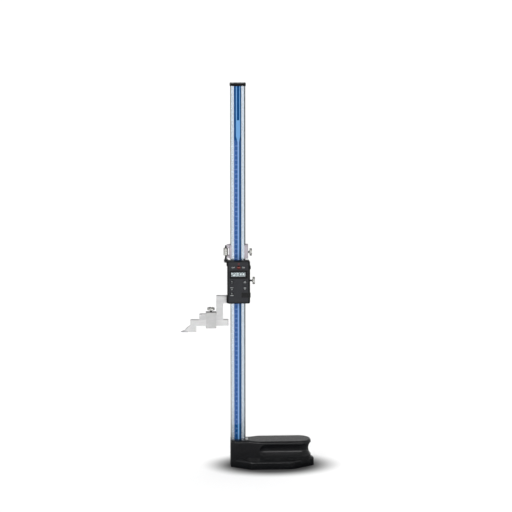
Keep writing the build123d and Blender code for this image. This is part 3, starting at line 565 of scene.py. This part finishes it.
# %% Mix the inks of the film
# The film is satin, and its blues are slightly mottled.
film = new_finish("printed_scale_film", sheen=(2.0, 0.26, 0.36), ior=1.5, specular_ior_level=0.1)
tree = film.node_tree
place = tree.nodes["millimetres"].outputs["Vector"]
axis = add(tree, "ShaderNodeSeparateXYZ", {0: place})
known = {"across": axis.outputs["X"], "up": axis.outputs["Z"]}
# edge(z) runs straight from its stripe value at the taper's foot to its field value at its top.
for name, low, high in zip(("left_edge", "right_edge"), stripe_edges, field_edges):
    run = {"Value": known["up"], 1: taper[0], 2: taper[1], 3: low, 4: high}
    known[name] = add(tree, "ShaderNodeMapRange", run).outputs["Result"]
for name, first, second, operation in (
    ("past_left_edge", "across", "left_edge", "GREATER_THAN"),
    ("past_right_edge", "across", "right_edge", "GREATER_THAN"),
    ("past_bar_left", "across", bar_edges[0], "GREATER_THAN"),
    ("short_of_bar_right", "across", bar_edges[1], "LESS_THAN"),
    ("above_bar_bottom", "up", bar_bottom, "GREATER_THAN"),
    ("beside_bar_edges", "past_bar_left", "short_of_bar_right", "MULTIPLY"),
    ("in_bar", "beside_bar_edges", "above_bar_bottom", "MULTIPLY"),
    ("low_down", "up", deep_below, "LESS_THAN"),
    ("high_up", "up", deep_above, "GREATER_THAN"),
    ("deep", "low_down", "high_up", "ADD"),
):
    pair = {0: known.get(first, first), 1: known.get(second, second)}
    known[name] = add(tree, "ShaderNodeMath", pair, operation=operation).outputs[0]
patch = (1 / np.array(mottle_cell)).tolist()
spread = add(tree, "ShaderNodeMapping", {"Vector": place, "Scale": patch}).outputs["Vector"]
known["mottle"] = add(tree, "ShaderNodeTexNoise", {"Vector": spread, "Scale": 1.0}).outputs["Fac"]
ink_colour = linear("345c9c")
for share, plain, deeper in (
    ("mottle", "3d66a8", "3d66a8"),
    ("deep", "0e4a84", "0e4a84"),
    ("past_left_edge", "94bcf2", "7ab2ea"),
    ("past_right_edge", "2f527f", "18406a"),
    ("in_bar", "084a86", "084a86"),
):
    blues = {0: known["deep"], 6: linear(plain), 7: linear(deeper)}
    over = add(tree, "ShaderNodeMix", blues, data_type="RGBA").outputs[2]
    layer = {0: known[share], 6: ink_colour, 7: over}
    ink_colour = add(tree, "ShaderNodeMix", layer, data_type="RGBA").outputs[2]
tree.links.new(ink_colour, tree.nodes["Principled BSDF"].inputs["Base Color"])
print("made", film.name)

# %% [markdown]
# ## Dressing the CAD pieces
# A CAD piece whose shape is right only needs its finish. One table says which finish goes on which
# pieces, hidden ones included, because the keys, the battery door and the slider all move.

# %% Give every CAD node its finish
finishes = {
    enamel: ["base"],
    column_steel: ["column"],
    film: ["scale_strip"],
    satin_steel: ["slider_frame", "slider_back_plate", "column_wedge"],
    scriber_steel: ["scriber"],
    clamp_steel: ["scriber_clamp"],
    carriage_steel: ["carriage_frame"],
    carbide: ["carbide_tip"],
    nickel: ["slider_lock_screw", "carriage_lock_screw", "clamp_screw", "adjusting_nut", "battery"],
    oxide: ["adjusting_screw", "pivot_screw", "gib_screws", "column_clamp_screws"],
    zinc: ["cap_screws", "back_plate_screws", "housing_screws"],
    brass: ["slider_gib", "carriage_gib"],
    case_abs: ["display_housing", "display_bezel"],
    cap_abs: ["column_cap"],
    door_abs: ["battery_door"],
    face_film: ["face_plate"],
    key_rubber: ["mode_key", "units_key", "zero_key", "up_key", "down_key"],
    red_plastic: ["power_button"],
    lcd_cell: ["lcd_panel"],
    acrylic: ["display_window"],
    elastomer: ["lcd_contact_strips"],
    board_green: ["display_board", "sensor_board"],
    contact: ["switch_domes", "battery_contact"],
}
for material, names in finishes.items():
    for name in names:
        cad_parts[name].material_slots[0].material = material
dressed = sum(len(names) for names in finishes.values())
print(dressed, "of", len(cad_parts), "nodes dressed")

# %% [markdown]
# ## Surfaces from a formula
# A turned part is a profile spun round its axis. Blender's Screw modifier could spin it, but a
# knurl or a thread changes the radius with the angle and the height together. Worked out as one
# array of points, such a surface is a short formula, and every ring of it closes exactly.


# %% Helpers for turned surfaces
def zigzag(x):
    """|2 (x mod 1) - 1|: a wave of period 1, which is 1 at whole numbers and 0 between them."""
    return np.abs(2 * np.mod(x, 1.0) - 1)


def through(*stops):
    """Rows of (radius, height) along straight runs. A stop's third number is its run's steps."""
    runs = [np.linspace(a[:2], b[:2], a[2], endpoint=False) for a, b in zip(stops, stops[1:])]
    return np.concatenate([*runs, [stops[-1][:2]]])


def spun(profile, columns, carve=None):
    """Rings of points (r cos t, r sin t, h), where carve(t, h) is taken off the radius r."""
    angle = np.arange(columns) * 2 * np.pi / columns
    radius, height = profile.T[..., None]
    if carve:
        radius = radius - carve(angle, height)
    return np.stack(
        np.broadcast_arrays(radius * np.cos(angle), radius * np.sin(angle), height), axis=-1
    )


def along_axis(points, axis, origin):
    """Turns points drawn round Z to stand round X, Y or Z, and moves them. All are in mm."""
    return np.roll(points, "ZXY".index(axis), axis=-1) + origin


def box_mm(node):
    """A node's lowest and highest corners as two arrays, in mm."""
    return [np.array(corner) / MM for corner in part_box(node)]


print("zigzag at 0, 1/4, 1/2:", zigzag(np.array([0, 0.25, 0.5])))

# %% [markdown]
# Rings of points become a skin when each is joined to the next by quads. The first and the last
# ring are closed onto a pole each. Where the profile comes back to its start, as on a nut with a
# bore, they are joined to each other instead.


# %% Helpers for faces and pieces
corner_angle = math.radians(32)  # an edge that turns by more than this stays a corner


def ring_faces(rows, columns, joined=False):
    """Quads between neighbouring rings. The end rings close onto a pole each, or onto each other.

    Quad (i, j) is (i, j), (i, j + 1), (i + 1, j + 1), (i + 1, j), with the columns wrapping round.
    """
    corner = np.arange(rows * columns).reshape(rows, columns)
    beside = np.roll(corner, -1, axis=1)
    if joined:
        above, above_beside = np.roll(corner, -1, axis=0), np.roll(beside, -1, axis=0)
        return np.stack([corner, beside, above_beside, above], axis=-1).reshape(-1, 4).tolist()
    quads = np.stack([corner[:-1], beside[:-1], beside[1:], corner[1:]], axis=-1)
    low, high = np.full(columns, rows * columns), np.full(columns, rows * columns + 1)
    first = np.stack([low, beside[0], corner[0]], axis=-1)
    last = np.stack([high, corner[-1], beside[-1]], axis=-1)
    return quads.reshape(-1, 4).tolist() + first.tolist() + last.tolist()


def with_poles(rings):
    """The points of all rings in one list, and then the middles of the first and last ring."""
    return np.concatenate([rings.reshape(-1, 3), [rings[0].mean(axis=0), rings[-1].mean(axis=0)]])


def make_piece(name, points, faces, materials, body, slot_name):
    """A mesh object from points in mm, shaded smooth except at corners, that rides on a body."""
    mesh = bpy.data.meshes.new(name)
    mesh.from_pydata((points * MM).tolist(), [], faces)
    for material in materials:
        mesh.materials.append(material)
    mesh.shade_smooth()
    mesh.set_sharp_from_angle(angle=corner_angle)
    piece = bpy.data.objects.new(name, mesh)
    bpy.context.scene.collection.objects.link(piece)
    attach(piece, body)
    return piece


print("a tube of 4 rings of 8 points has", len(ring_faces(4, 8)), "faces")

# %% [markdown]
# ## Knurled thumb screws
# Three thumb screws lock the slider, lock the fine adjustment and close the scriber's clamp. Each
# is a thin blackened stem with a plated head, and the head's rim is rolled with a diamond knurl:
# two sets of grooves that wind opposite ways and leave rows of small pyramids between them. The
# lower of two zigzags, one for each way of winding, is exactly that shape.

# %% Cut a diamond knurl
knurl_depth = 0.24
knurl_fade = 0.35  # mm over which the grooves run out at the ends
groove_columns = 8  # columns of mesh for each groove


def diamond_knurl(starts, lead, low, high, outer):
    """depth * (1 - min(zigzag(a), zigzag(b))), with a, b = starts t / 2 pi +- h / lead."""

    def carve(angle, height):
        around, up = starts * angle / (2 * np.pi), (height - low) / lead
        grooves = 1 - np.minimum(zigzag(around + up), zigzag(around - up))
        run_in, run_out = (height - low) / knurl_fade, (high - height) / knurl_fade
        inside = np.clip(run_in, 0, 1) * np.clip(run_out, 0, 1)
        return knurl_depth * grooves * inside * outer[:, None]

    return carve


print("knurl", knurl_depth, "mm deep")

# %% [markdown]
# The three screws differ only in length, place and direction, so one profile is measured from each
# CAD node: the stem and its collar, the rolled rim, and the shallow recess in the head. The first
# faces of the mesh are the stem's, which is how they get the blackened finish.

# %% Build the thumb screws
head_thickness = 5.0
head_bevel = 0.5
stem_radius, stem_bevel = 1.9, 0.5
collar_radius, collar_height, collar_bevel = 3.5, 0.9, 0.3
recess_radius, recess_depth = 5.5, 0.8
recess_middle = 0.8  # radius of the last ring, which the pole closes
screw_starts, screw_lead = 46, 1.7  # grooves each way, and mm of height from one to the next


def thumb_screw(node, body, axis):
    """A knurled thumb screw over a CAD node, from the tip of its stem to the recess in its head."""
    low, high = box_mm(node)
    index = "XYZ".index(axis)
    origin = (low + high) / 2
    origin[index] = low[index]
    length = high[index] - low[index]
    radius = (high - low)[1] / 2
    head = length - head_thickness
    collar = head - collar_height
    tip_steps, stem_steps = 2, 6
    profile = through(
        (stem_radius - stem_bevel, 0, tip_steps),
        (stem_radius, stem_bevel, stem_steps),
        (stem_radius, collar, 1),
        (collar_radius - collar_bevel, collar, 1),
        (collar_radius, collar + collar_bevel, 1),
        (collar_radius, head, 2),
        (radius - head_bevel, head, 1),
        (radius, head + head_bevel, 18),
        (radius, length - head_bevel, 1),
        (radius - head_bevel, length, 2),
        (recess_radius, length, 2),
        (recess_radius - recess_depth / 2, length - recess_depth, 3),
        (recess_middle, length - recess_depth, 0),
    )
    outer = profile[:, 0] > radius - head_bevel / 2
    knurl = diamond_knurl(screw_starts, screw_lead, head + head_bevel, length - head_bevel, outer)
    rings = spun(profile, screw_starts * groove_columns, knurl)
    faces = ring_faces(*rings.shape[:2])
    points = along_axis(with_poles(rings), axis, origin)
    piece = make_piece(f"knurled_{node}", points, faces, [nickel, oxide], body, "bright_chrome")
    columns = rings.shape[1]
    blackened = np.zeros(len(faces), int)
    blackened[: (tip_steps + stem_steps) * columns] = 1
    blackened[-2 * columns : -columns] = 1  # the fan at the stem's tip
    piece.data.polygons.foreach_set("material_index", blackened)
    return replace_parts(piece, node)


screws = [
    thumb_screw("slider_lock_screw", "slider_lock", "X"),
    thumb_screw("carriage_lock_screw", "carriage_lock", "X"),
    thumb_screw("clamp_screw", "clamp_screw", "Z"),
]
for screw in screws:
    print(screw.name, len(screw.data.polygons), "faces")

# %% [markdown]
# ## Fine adjustment
# The nut that the carriage holds captive is knurled over its whole length, with a bevel at both
# ends and a bore for the rod. Its profile is a closed loop, from the bore to the rim and back.

# %% Build the nut
nut_low, nut_high = box_mm("adjusting_nut")
nut_radius = (nut_high - nut_low)[0] / 2
nut_height = nut_high[2] - nut_low[2]
nut_bevel = 0.7
nut_bore, bore_bevel = 2.03, 0.3
nut_starts, nut_lead = 28, 1.6
nut_profile = through(
    (nut_bore, bore_bevel, 1),
    (nut_bore + bore_bevel, 0, 2),
    (nut_radius - nut_bevel, 0, 2),
    (nut_radius, nut_bevel, 92),
    (nut_radius, nut_height - nut_bevel, 2),
    (nut_radius - nut_bevel, nut_height, 2),
    (nut_bore + bore_bevel, nut_height, 1),
    (nut_bore, nut_height - bore_bevel, 0),
)
nut_outer = nut_profile[:, 0] > nut_radius - nut_bevel / 2
nut_knurl = diamond_knurl(nut_starts, nut_lead, nut_bevel, nut_height - nut_bevel, nut_outer)
nut_rings = spun(nut_profile, nut_starts * groove_columns, nut_knurl)
nut_origin = (nut_low + nut_high) / 2
nut_origin[2] = nut_low[2]
nut_points = along_axis(nut_rings.reshape(-1, 3), "Z", nut_origin)
nut_faces = ring_faces(*nut_rings.shape[:2], joined=True)
nut = make_piece(
    "knurled_adjusting_nut", nut_points, nut_faces, [nickel], "adjusting_nut", "bright_chrome"
)
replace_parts(nut, "adjusting_nut")
print(nut.name, len(nut.data.polygons), "faces")

# %% [markdown]
# The rod is a blackened M4 screw of 0.7 mm pitch with an eye at its foot. A thread could be a
# twisted profile swept along a helix, but it is simpler to let the radius follow a zigzag of
# height / pitch - angle / turn, which climbs one pitch in each turn.

# %% Build the threaded rod
thread_pitch = 0.7
thread_depth = 0.38
thread_rows = 8  # rows of mesh for each turn
plain_foot = 4.5  # mm of rod without thread, above the eye
rod_radius, rod_bevel, rod_columns = 1.95, 0.5, 32
rod_low, rod_high = box_mm("adjusting_screw")
eye_radius = (rod_high - rod_low)[0] / 2
eye_bore, eye_bevel, eye_columns = 1.3, 0.4, 48
eye_thickness = rod_high[1] - rod_low[1]
eye_middle = np.array([(rod_low + rod_high)[0] / 2, rod_low[1], rod_low[2] + eye_radius])
eye_overlap = 1.0  # the rod starts this far outside the eye's bore, inside its ring
rod_foot = eye_middle[2] + eye_bore + eye_overlap
rod_length = rod_high[2] - rod_foot


def thread(angle, height):
    """depth * (1 - zigzag(h / pitch - t / 2 pi)), fading out over one pitch at the plain foot."""
    groove = 1 - zigzag(height / thread_pitch - angle / (2 * np.pi))
    return thread_depth * groove * np.clip((height - plain_foot) / thread_pitch, 0, 1)


rod_profile = through(
    (rod_radius, 0, int(rod_length / thread_pitch * thread_rows)),
    (rod_radius, rod_length - rod_bevel, 3),
    (rod_radius - rod_bevel, rod_length, 0),
)
rod_rings = spun(rod_profile, rod_columns, thread)
rod_axis = np.array([eye_middle[0], (rod_low + rod_high)[1] / 2, rod_foot])
eye_profile = through(
    (eye_bore, bore_bevel, 1),
    (eye_bore + bore_bevel, 0, 2),
    (eye_radius - eye_bevel, 0, 2),
    (eye_radius, eye_bevel, 2),
    (eye_radius, eye_thickness - eye_bevel, 2),
    (eye_radius - eye_bevel, eye_thickness, 2),
    (eye_bore + bore_bevel, eye_thickness, 1),
    (eye_bore, eye_thickness - bore_bevel, 0),
)
eye_rings = spun(eye_profile, eye_columns)
rod_points = along_axis(with_poles(rod_rings), "Z", rod_axis)
eye_points = along_axis(eye_rings.reshape(-1, 3), "Y", eye_middle)
eye_faces = np.array(ring_faces(*eye_rings.shape[:2], joined=True)) + len(rod_points)
rod_and_eye = np.concatenate([rod_points, eye_points])
rod_faces = ring_faces(*rod_rings.shape[:2]) + eye_faces.tolist()
rod = make_piece(
    "threaded_adjusting_screw", rod_and_eye, rod_faces, [oxide], "slider", "black_steel"
)
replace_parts(rod, "adjusting_screw")
print(rod.name, len(rod.data.polygons), "faces")

# %% [markdown]
# ## Prints
# Ink is thinner than a hair, but letters drawn in a material would need a font as a texture. Each
# print is a plate 0.02 mm proud of what carries it, which is thick enough for light to find. Bars,
# rings and the read-out's segments are flat outlines given a thickness.


# %% Helpers for flat prints
ink = 0.02  # mm that a print stands proud


def bar(x0, x1, z0, z1):
    """The outline of an upright rectangle, counter-clockwise from the reader's side."""
    return np.array([(x0, z0), (x1, z0), (x1, z1), (x0, z1)])


def arc_band(x, z, outer, width, start_deg, sweep_deg, steps=24):
    """An open ring: out along radius outer, and back along radius outer - width."""
    angle = np.radians(start_deg + sweep_deg * np.linspace(0, 1, steps + 1))
    ray = np.column_stack([np.cos(angle), np.sin(angle)])
    return np.concatenate([outer * ray, (outer - width) * ray[::-1]]) + (x, z)


def border(outer, inner):
    """Quads between two outlines: side i runs from corner i to corner i + 1 of both."""
    outer_next, inner_next = np.roll(outer, -1, axis=0), np.roll(inner, -1, axis=0)
    return np.stack([outer, outer_next, inner_next, inner], axis=1)


def plates(outlines, front):
    """Closed plates behind the depth y = front. Wall i runs from corner i to corner i + 1."""
    points, faces, used = [], [], 0
    for outline in outlines:
        count = len(outline)
        near = used + np.arange(count)
        far = near + count
        walls = np.stack([near, far, np.roll(far, -1), np.roll(near, -1)], axis=-1)
        faces += [near.tolist(), far[::-1].tolist(), *walls.tolist()]
        for depth in (front, front + 2 * ink):
            points.append(np.insert(outline, 1, depth, axis=1))
        used += 2 * count
    return np.concatenate(points), faces


def printing_ink(name, dark, light):
    """Screen-printed ink: an even satin film with a very slight mottle."""
    sheen = (0.3, 0.42, 0.55)
    return new_finish(name, (0.6, dark, light), sheen, ior=1.5, specular_ior_level=0.3)


pale_blue_ink = printing_ink("pale_blue_screen_ink", "86a8e6", "98baf4")
grey_ink = printing_ink("light_grey_screen_ink", "ced2d2", "dee2e2")
red_ink = printing_ink("red_screen_ink", "842f32", "94383a")
black_ink = printing_ink("blue_black_screen_ink", "0a0c12", "0f121a")
print("inks:", pale_blue_ink.name, grey_ink.name, red_ink.name, black_ink.name)

# %% [markdown]
# Letters are Blender text, turned into mesh and stood upright, because Blender's own font draws
# better figures than outlines typed by hand would.


# %% Helper for letters
capital_share = 0.7  # capitals are this much of the font's size


def lettering(name, signs, front, material, body):
    """One mesh of upright letters. A sign is its text, its middle (x, z) and its height in mm."""
    gathered = bmesh.new()
    upright = Matrix.Rotation(math.pi / 2, 4, "X")
    for text, x, z, height in signs:
        curve = bpy.data.curves.new(name, "FONT")
        curve.body = text
        curve.align_x, curve.align_y = "CENTER", "CENTER"
        curve.size = height * MM / capital_share
        curve.extrude = ink * MM
        curve.resolution_u = 2
        holder = bpy.data.objects.new(name, curve)
        letters = bpy.data.meshes.new_from_object(holder)
        letters.transform(Matrix.Translation((x * MM, front * MM, z * MM)) @ upright)
        gathered.from_mesh(letters)
        bpy.data.objects.remove(holder)
        bpy.data.curves.remove(curve)
        bpy.data.meshes.remove(letters)
    bmesh.ops.remove_doubles(gathered, verts=gathered.verts, dist=0.001 * MM)
    bmesh.ops.recalc_face_normals(gathered, faces=gathered.faces)
    mesh = bpy.data.meshes.new(name)
    gathered.to_mesh(mesh)
    gathered.free()
    mesh.materials.append(material)
    piece = bpy.data.objects.new(name, mesh)
    bpy.context.scene.collection.objects.link(piece)
    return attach(piece, body)


print("letters stand", ink, "mm proud")

# %% [markdown]
# The scale has a mark every millimetre, longer at 5 and 10, with a number at every tenth. Its zero
# is placed so that the lower end of the slider's frame points at the height of the scriber's edge.

# %% Print the scale
strip_low = box_mm("scale_strip")[0]
frame_foot = 354.5  # height of the frame's lower end, in mm
scriber_edge = box_mm("carbide_tip")[0][2]
scale_zero = frame_foot - scriber_edge
scale_length = 635
mark_left = strip_low[0] + 0.3  # the marks start just inside the film's edge
mark_lengths = {1: 1.6, 5: 2.4, 10: 3.2}
mark_width = 0.25
number_height = 2.6
number_x = -2.9


def scale_mark(value):
    """A bar as long as the largest of 1, 5 and 10 that divides the value gives it."""
    length = max(long for step, long in mark_lengths.items() if value % step == 0)
    z = scale_zero + value
    return bar(mark_left, mark_left + length, z - mark_width / 2, z + mark_width / 2)


marks = [scale_mark(value) for value in range(scale_length + 1)]
mark_plates = plates(marks, strip_low[1] - ink)
make_piece("printed_scale_marks", *mark_plates, [pale_blue_ink], "base", "scale_print")
numbers = [(str(v), number_x, scale_zero + v, number_height) for v in range(10, scale_length, 10)]
lettering("printed_scale_numbers", numbers, strip_low[1], pale_blue_ink, "base")
print(len(marks), "marks and", len(numbers), "numbers from z", scale_zero)

# %% [markdown]
# The read-out is a row of seven-segment digits. A segment is a bar with pointed ends, and each
# digit lights some of them.


# %% Shape the segments
digit_height = 6.6
digit_width = 4.1
segment_width = 1.45
segment_gap = 0.12
lit_segments = {
    "0": "abcdef", "1": "bc", "2": "abged", "3": "abgcd", "4": "fgbc",
    "5": "afgcd", "6": "afgedc", "7": "abc", "8": "abcdefg", "9": "abcdfg",
}


def segment(letter):
    """A pointed bar. Each letter names one of seven places, from a at the top round to g."""
    half = digit_width / 2 - segment_gap
    tip = segment_width / 2
    end = half - tip
    flat = np.array([(-half, 0), (-end, -tip), (end, -tip), (half, 0), (end, tip), (-end, tip)])
    if letter in "adg":
        return flat + (0, {"a": digit_height / 2, "g": 0, "d": -digit_height / 2}[letter])
    stretch = (digit_height / 2 - 2 * segment_gap) / (2 * half)
    tall = np.column_stack([-flat[:, 1], flat[:, 0] * stretch])
    side = digit_width / 2 if letter in "bc" else -digit_width / 2
    return tall + (side, digit_height / 4 if letter in "bf" else -digit_height / 4)


print("segment a spans", segment("a").min(axis=0), "to", segment("a").max(axis=0), "mm")

# %% [markdown]
# The reading is the height of the scriber's edge, so it is true for the pose in which the gauge is
# shown. A decimal point takes no room of its own: it stands between two digits. The row of digits
# is a little slanted, as such cells print them, and stands in the middle of the part left open.

# %% Light the read-out
reading = f"{scriber_edge:.2f}"
panel_front = box_mm("lcd_panel")[0][1]
shown_low, shown_high = np.array((-15.0, 415.1)), np.array((14.6, 423.8))  # the part left open
digit_step = 5.6
point_half, point_height = 0.4, 0.8
slant = math.tan(math.radians(5))
segments = []
cursor = 0.0
for sign in reading:
    if sign == ".":
        spot = cursor - digit_step / 2
        foot = -digit_height / 2
        segments.append(bar(spot - point_half, spot + point_half, foot, foot + point_height))
        continue
    segments += [segment(letter) + (cursor, 0) for letter in lit_segments[sign]]
    cursor += digit_step
middle = (shown_low + shown_high) / 2
start = middle[0] - (cursor - digit_step) / 2
placed = [outline + (start, middle[1]) + slant * outline[:, 1:] * (1, 0) for outline in segments]
crystal_ink = printing_ink("dark_liquid_crystal", "102a32", "18363e")
make_piece("readout_digits", *plates(placed, panel_front - ink), [crystal_ink], "slider", "lcd")
print("reads", reading, "with", len(segments), "segments")

# %% [markdown]
# The face plate carries plain signs: OFF and ON beside the power button, and the common power mark
# above it, which is an open ring and a bar. A dark border is printed round the window. It hides the
# rim of the cell, and leaves open only the part that shows the digits.

# %% Print the face plate
face_front = box_mm("face_plate")[0][1]
button_low, button_high = box_mm("power_button")
button_x, _, button_z = (button_low + button_high) / 2
legend_height = 2.8
legend_shifts = {"OFF": -11.6, "ON": 9.8}  # mm from the button's middle
legends = [(text, button_x + x, button_z, legend_height) for text, x in legend_shifts.items()]
lettering("face_legends", legends, face_front, grey_ink, "slider")

power_z = button_high[2] + 3.1
power_line = 0.55
power_mark = [
    arc_band(button_x, power_z, outer=1.9, width=power_line, start_deg=120, sweep_deg=300),
    bar(button_x - 0.28, button_x + 0.28, power_z, power_z + 2.1),
]
make_piece("power_mark", *plates(power_mark, face_front - ink), [red_ink], "slider", "face_film")

outside = bar(-18.4, 18.1, 411.4, 426.2)  # round the window, in mm
opening = bar(shown_low[0], shown_high[0], shown_low[1], shown_high[1])
mask = plates(border(outside, opening), face_front - ink)
make_piece("window_mask", *mask, [black_ink], "slider", "face_film")
print("face printed at y", face_front)

# %% [markdown]
# The keys have a sign each: plus and minus, the two units, an underlined zero, and hollow arrows.
# The red button has a pale stripe. Each print rides on its own key, so that it moves when pressed.

# %% Mark the keys
key_front = box_mm("mode_key")[0][1]
key_words = {  # the text, its height above the key's middle, and the height of its letters
    "mode_key": [("+", 1.6, 3.0), ("−", -1.6, 3.0)],
    "units_key": [("mm", 1.9, 3.0), ("in", -1.9, 3.0)],
    "zero_key": [("0", 1.6, 3.0)],
}
arrow_half, arrow_line = 3.1, 0.55
line_half = 3.2  # of the underline and of the button's stripe


def key_middle(node):
    """The middle of a key, as (x, z) in mm."""
    low, high = box_mm(node)
    return ((low + high) / 2)[[0, 2]]


for node, words in key_words.items():
    x, z = key_middle(node)
    signs = [(word, x, z + up, height) for word, up, height in words]
    lettering(f"{node}_sign", signs, key_front, grey_ink, node)
x, z = key_middle("zero_key")
underline = plates([bar(x - line_half, x + line_half, z - 2.9, z - 2.0)], key_front - ink)
make_piece("zero_key_underline", *underline, [grey_ink], "zero_key", "key_rubber")
for node, turn_deg in (("up_key", 0), ("down_key", 180)):
    turn = np.radians(np.array([90, 210, 330]) + turn_deg)
    outer = arrow_half * np.column_stack([np.cos(turn), np.sin(turn)])
    sides = border(outer, outer * (1 - 2 * arrow_line / arrow_half)) + key_middle(node)
    arrow = plates(sides, key_front - ink)
    make_piece(f"{node}_arrow", *arrow, [grey_ink], node, "key_rubber")
stripe = bar(button_x - line_half, button_x + line_half, button_z - 0.5, button_z + 0.5)
pink_ink = printing_ink("pink_screen_ink", "c06c64", "d07c74")
stripe_plate = plates([stripe], button_low[1] - ink)
make_piece("power_button_stripe", *stripe_plate, [pink_ink], "power_button", "red_button")
print("signs on", len(key_words) + 2, "keys")
